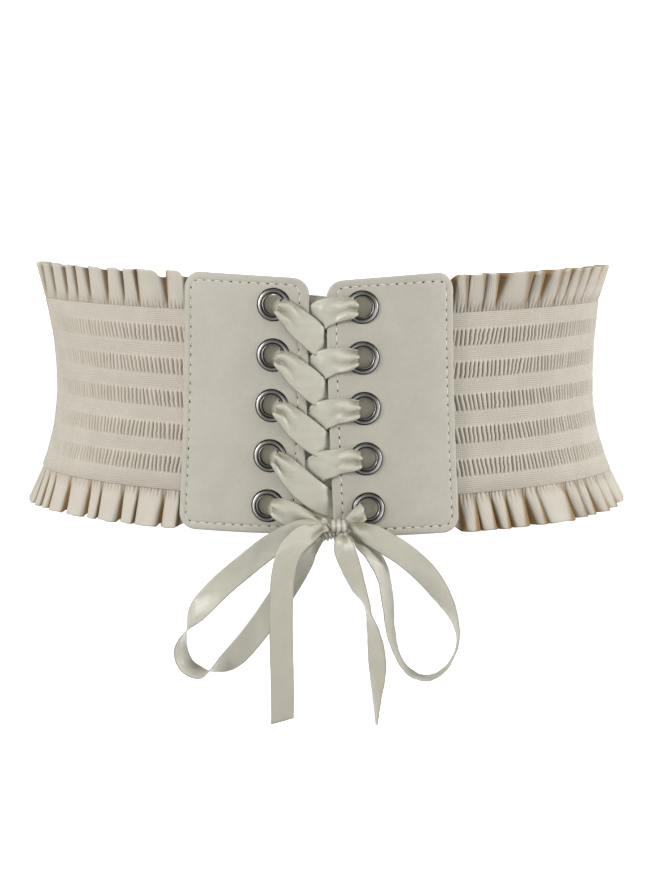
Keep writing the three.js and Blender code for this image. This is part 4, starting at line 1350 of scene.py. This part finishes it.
def freeStations(row):
    route = bowRoutes[row["name"]]
    line = smoothThrough(route, (len(route) - 1) * 6)
    points = line[:, :3]
    runs = np.gradient(points, axis=0)
    lengths = runLengths(points)
    first, last = row["pinch"]
    rows = []
    for point, run, turn, at in zip(points, runs, line[:, 3], lengths):
        run = Vector(run).normalized()
        flat = run.cross(Vector((0, -1, 0))).normalized()
        flat.rotate(Matrix.Rotation(math.radians(turn), 3, run))
        width = min(
            between(first, 1, float(smoothStep(0, row["reach"], at))),
            between(last, 1, float(smoothStep(0, row["reach"], lengths[-1] - at))),
        )
        rows.append([*(point * mm), *flat, ribbonShape["width"] * mm * width])
    return rows


def makeBow():
    for row in bowPieces:
        stations = freeStations(row)
        piece, points = makeRibbon(
            row["name"], stations, row["columns"], [row["node"]], 1.0, row["seed"],
            cut=row["cut"], tone=row["tone"],
        )


knotParts = [  # centre and size in millimetres, tilt in degrees, count of soft folds
    {"centre": (9.9, -113.4, -54.8), "size": (7.8, 7.4, 6.0), "tilt": 6, "folds": 3.2, "depth": 0.08},
    {"centre": (5.0, -111.4, -57.9), "size": (8.2, 6.4, 7.4), "tilt": -20, "folds": 4.5, "depth": 0.12},
]


def makeKnot():
    bm = bmesh.new()
    crease = bm.verts.layers.float.new("crease")
    for part in knotParts:
        made = bmesh.ops.create_uvsphere(
            bm, u_segments=56, v_segments=36, radius=0.5, matrix=Matrix.Rotation(math.pi / 2, 4, "Y"),
        )
        for vert in made["verts"]:
            x, y, z = vert.co
            angle = math.atan2(z, y)
            size = math.hypot(y, z)
            full = 0.5 * (1 - abs(2 * x) ** 3.5) ** 0.4 if abs(x) < 0.5 else 0
            wave = math.cos(2 * math.pi * part["folds"] * (x + 0.06 * math.sin(angle + 0.6)))
            radius = full * (1 + part["depth"] * wave)
            # painted shade in the valleys of the knot's soft folds
            vert[crease] = 0.75 * max(-wave, 0) ** 1.5
            if size > 1e-6:
                vert.co = (x, y / size * radius, z / size * radius)
        sizes = Matrix.Diagonal((*(v * mm for v in part["size"]), 1))
        turn = Matrix.Rotation(math.radians(part["tilt"]), 4, "Y")
        centre = Matrix.Translation(Vector(part["centre"]) * mm)
        bmesh.ops.transform(bm, matrix=centre @ turn @ sizes, verts=made["verts"])
    layer = bm.loops.layers.uv.new("surface")
    for face in bm.faces:
        for corner in face.loops:
            corner[layer].uv = (corner.vert.co.z / mm / mapSpan, 0.5)
    addPiece("bowKnot", meshFrom(bm, "bowKnot"), "ribbon", ["bow_knot"])


makeBow()
makeKnot()
print("bow")


# floor and backdrop
def makeStage():
    ring = {"radius": stageValues["radius"], "segments": stageValues["segments"]}
    shapes = {"floor": bmesh.new(), "backdrop": bmesh.new()}
    bmesh.ops.create_circle(shapes["floor"], cap_ends=True, **ring)
    bmesh.ops.create_circle(shapes["backdrop"], **ring)
    wall = bmesh.ops.extrude_edge_only(shapes["backdrop"], edges=shapes["backdrop"].edges[:])
    raised = [part for part in wall["geom"] if isinstance(part, bmesh.types.BMVert)]
    bmesh.ops.translate(shapes["backdrop"], vec=(0, 0, stageValues["backdropHeight"]), verts=raised)
    for name, bm in shapes.items():
        bmesh.ops.translate(bm, vec=(0, 0, stageValues["floorHeight"]), verts=bm.verts)
        mesh = meshFrom(bm, name)
        mesh.materials.append(paints[name])
        piece = bpy.data.objects.new(name, mesh)
        bpy.context.scene.collection.objects.link(piece)
        piece.visible_diffuse = False  # the white surround doesn't flatten the light on the belt
        piece.visible_glossy = name == "floor"


makeStage()
bpy.context.view_layer.update()
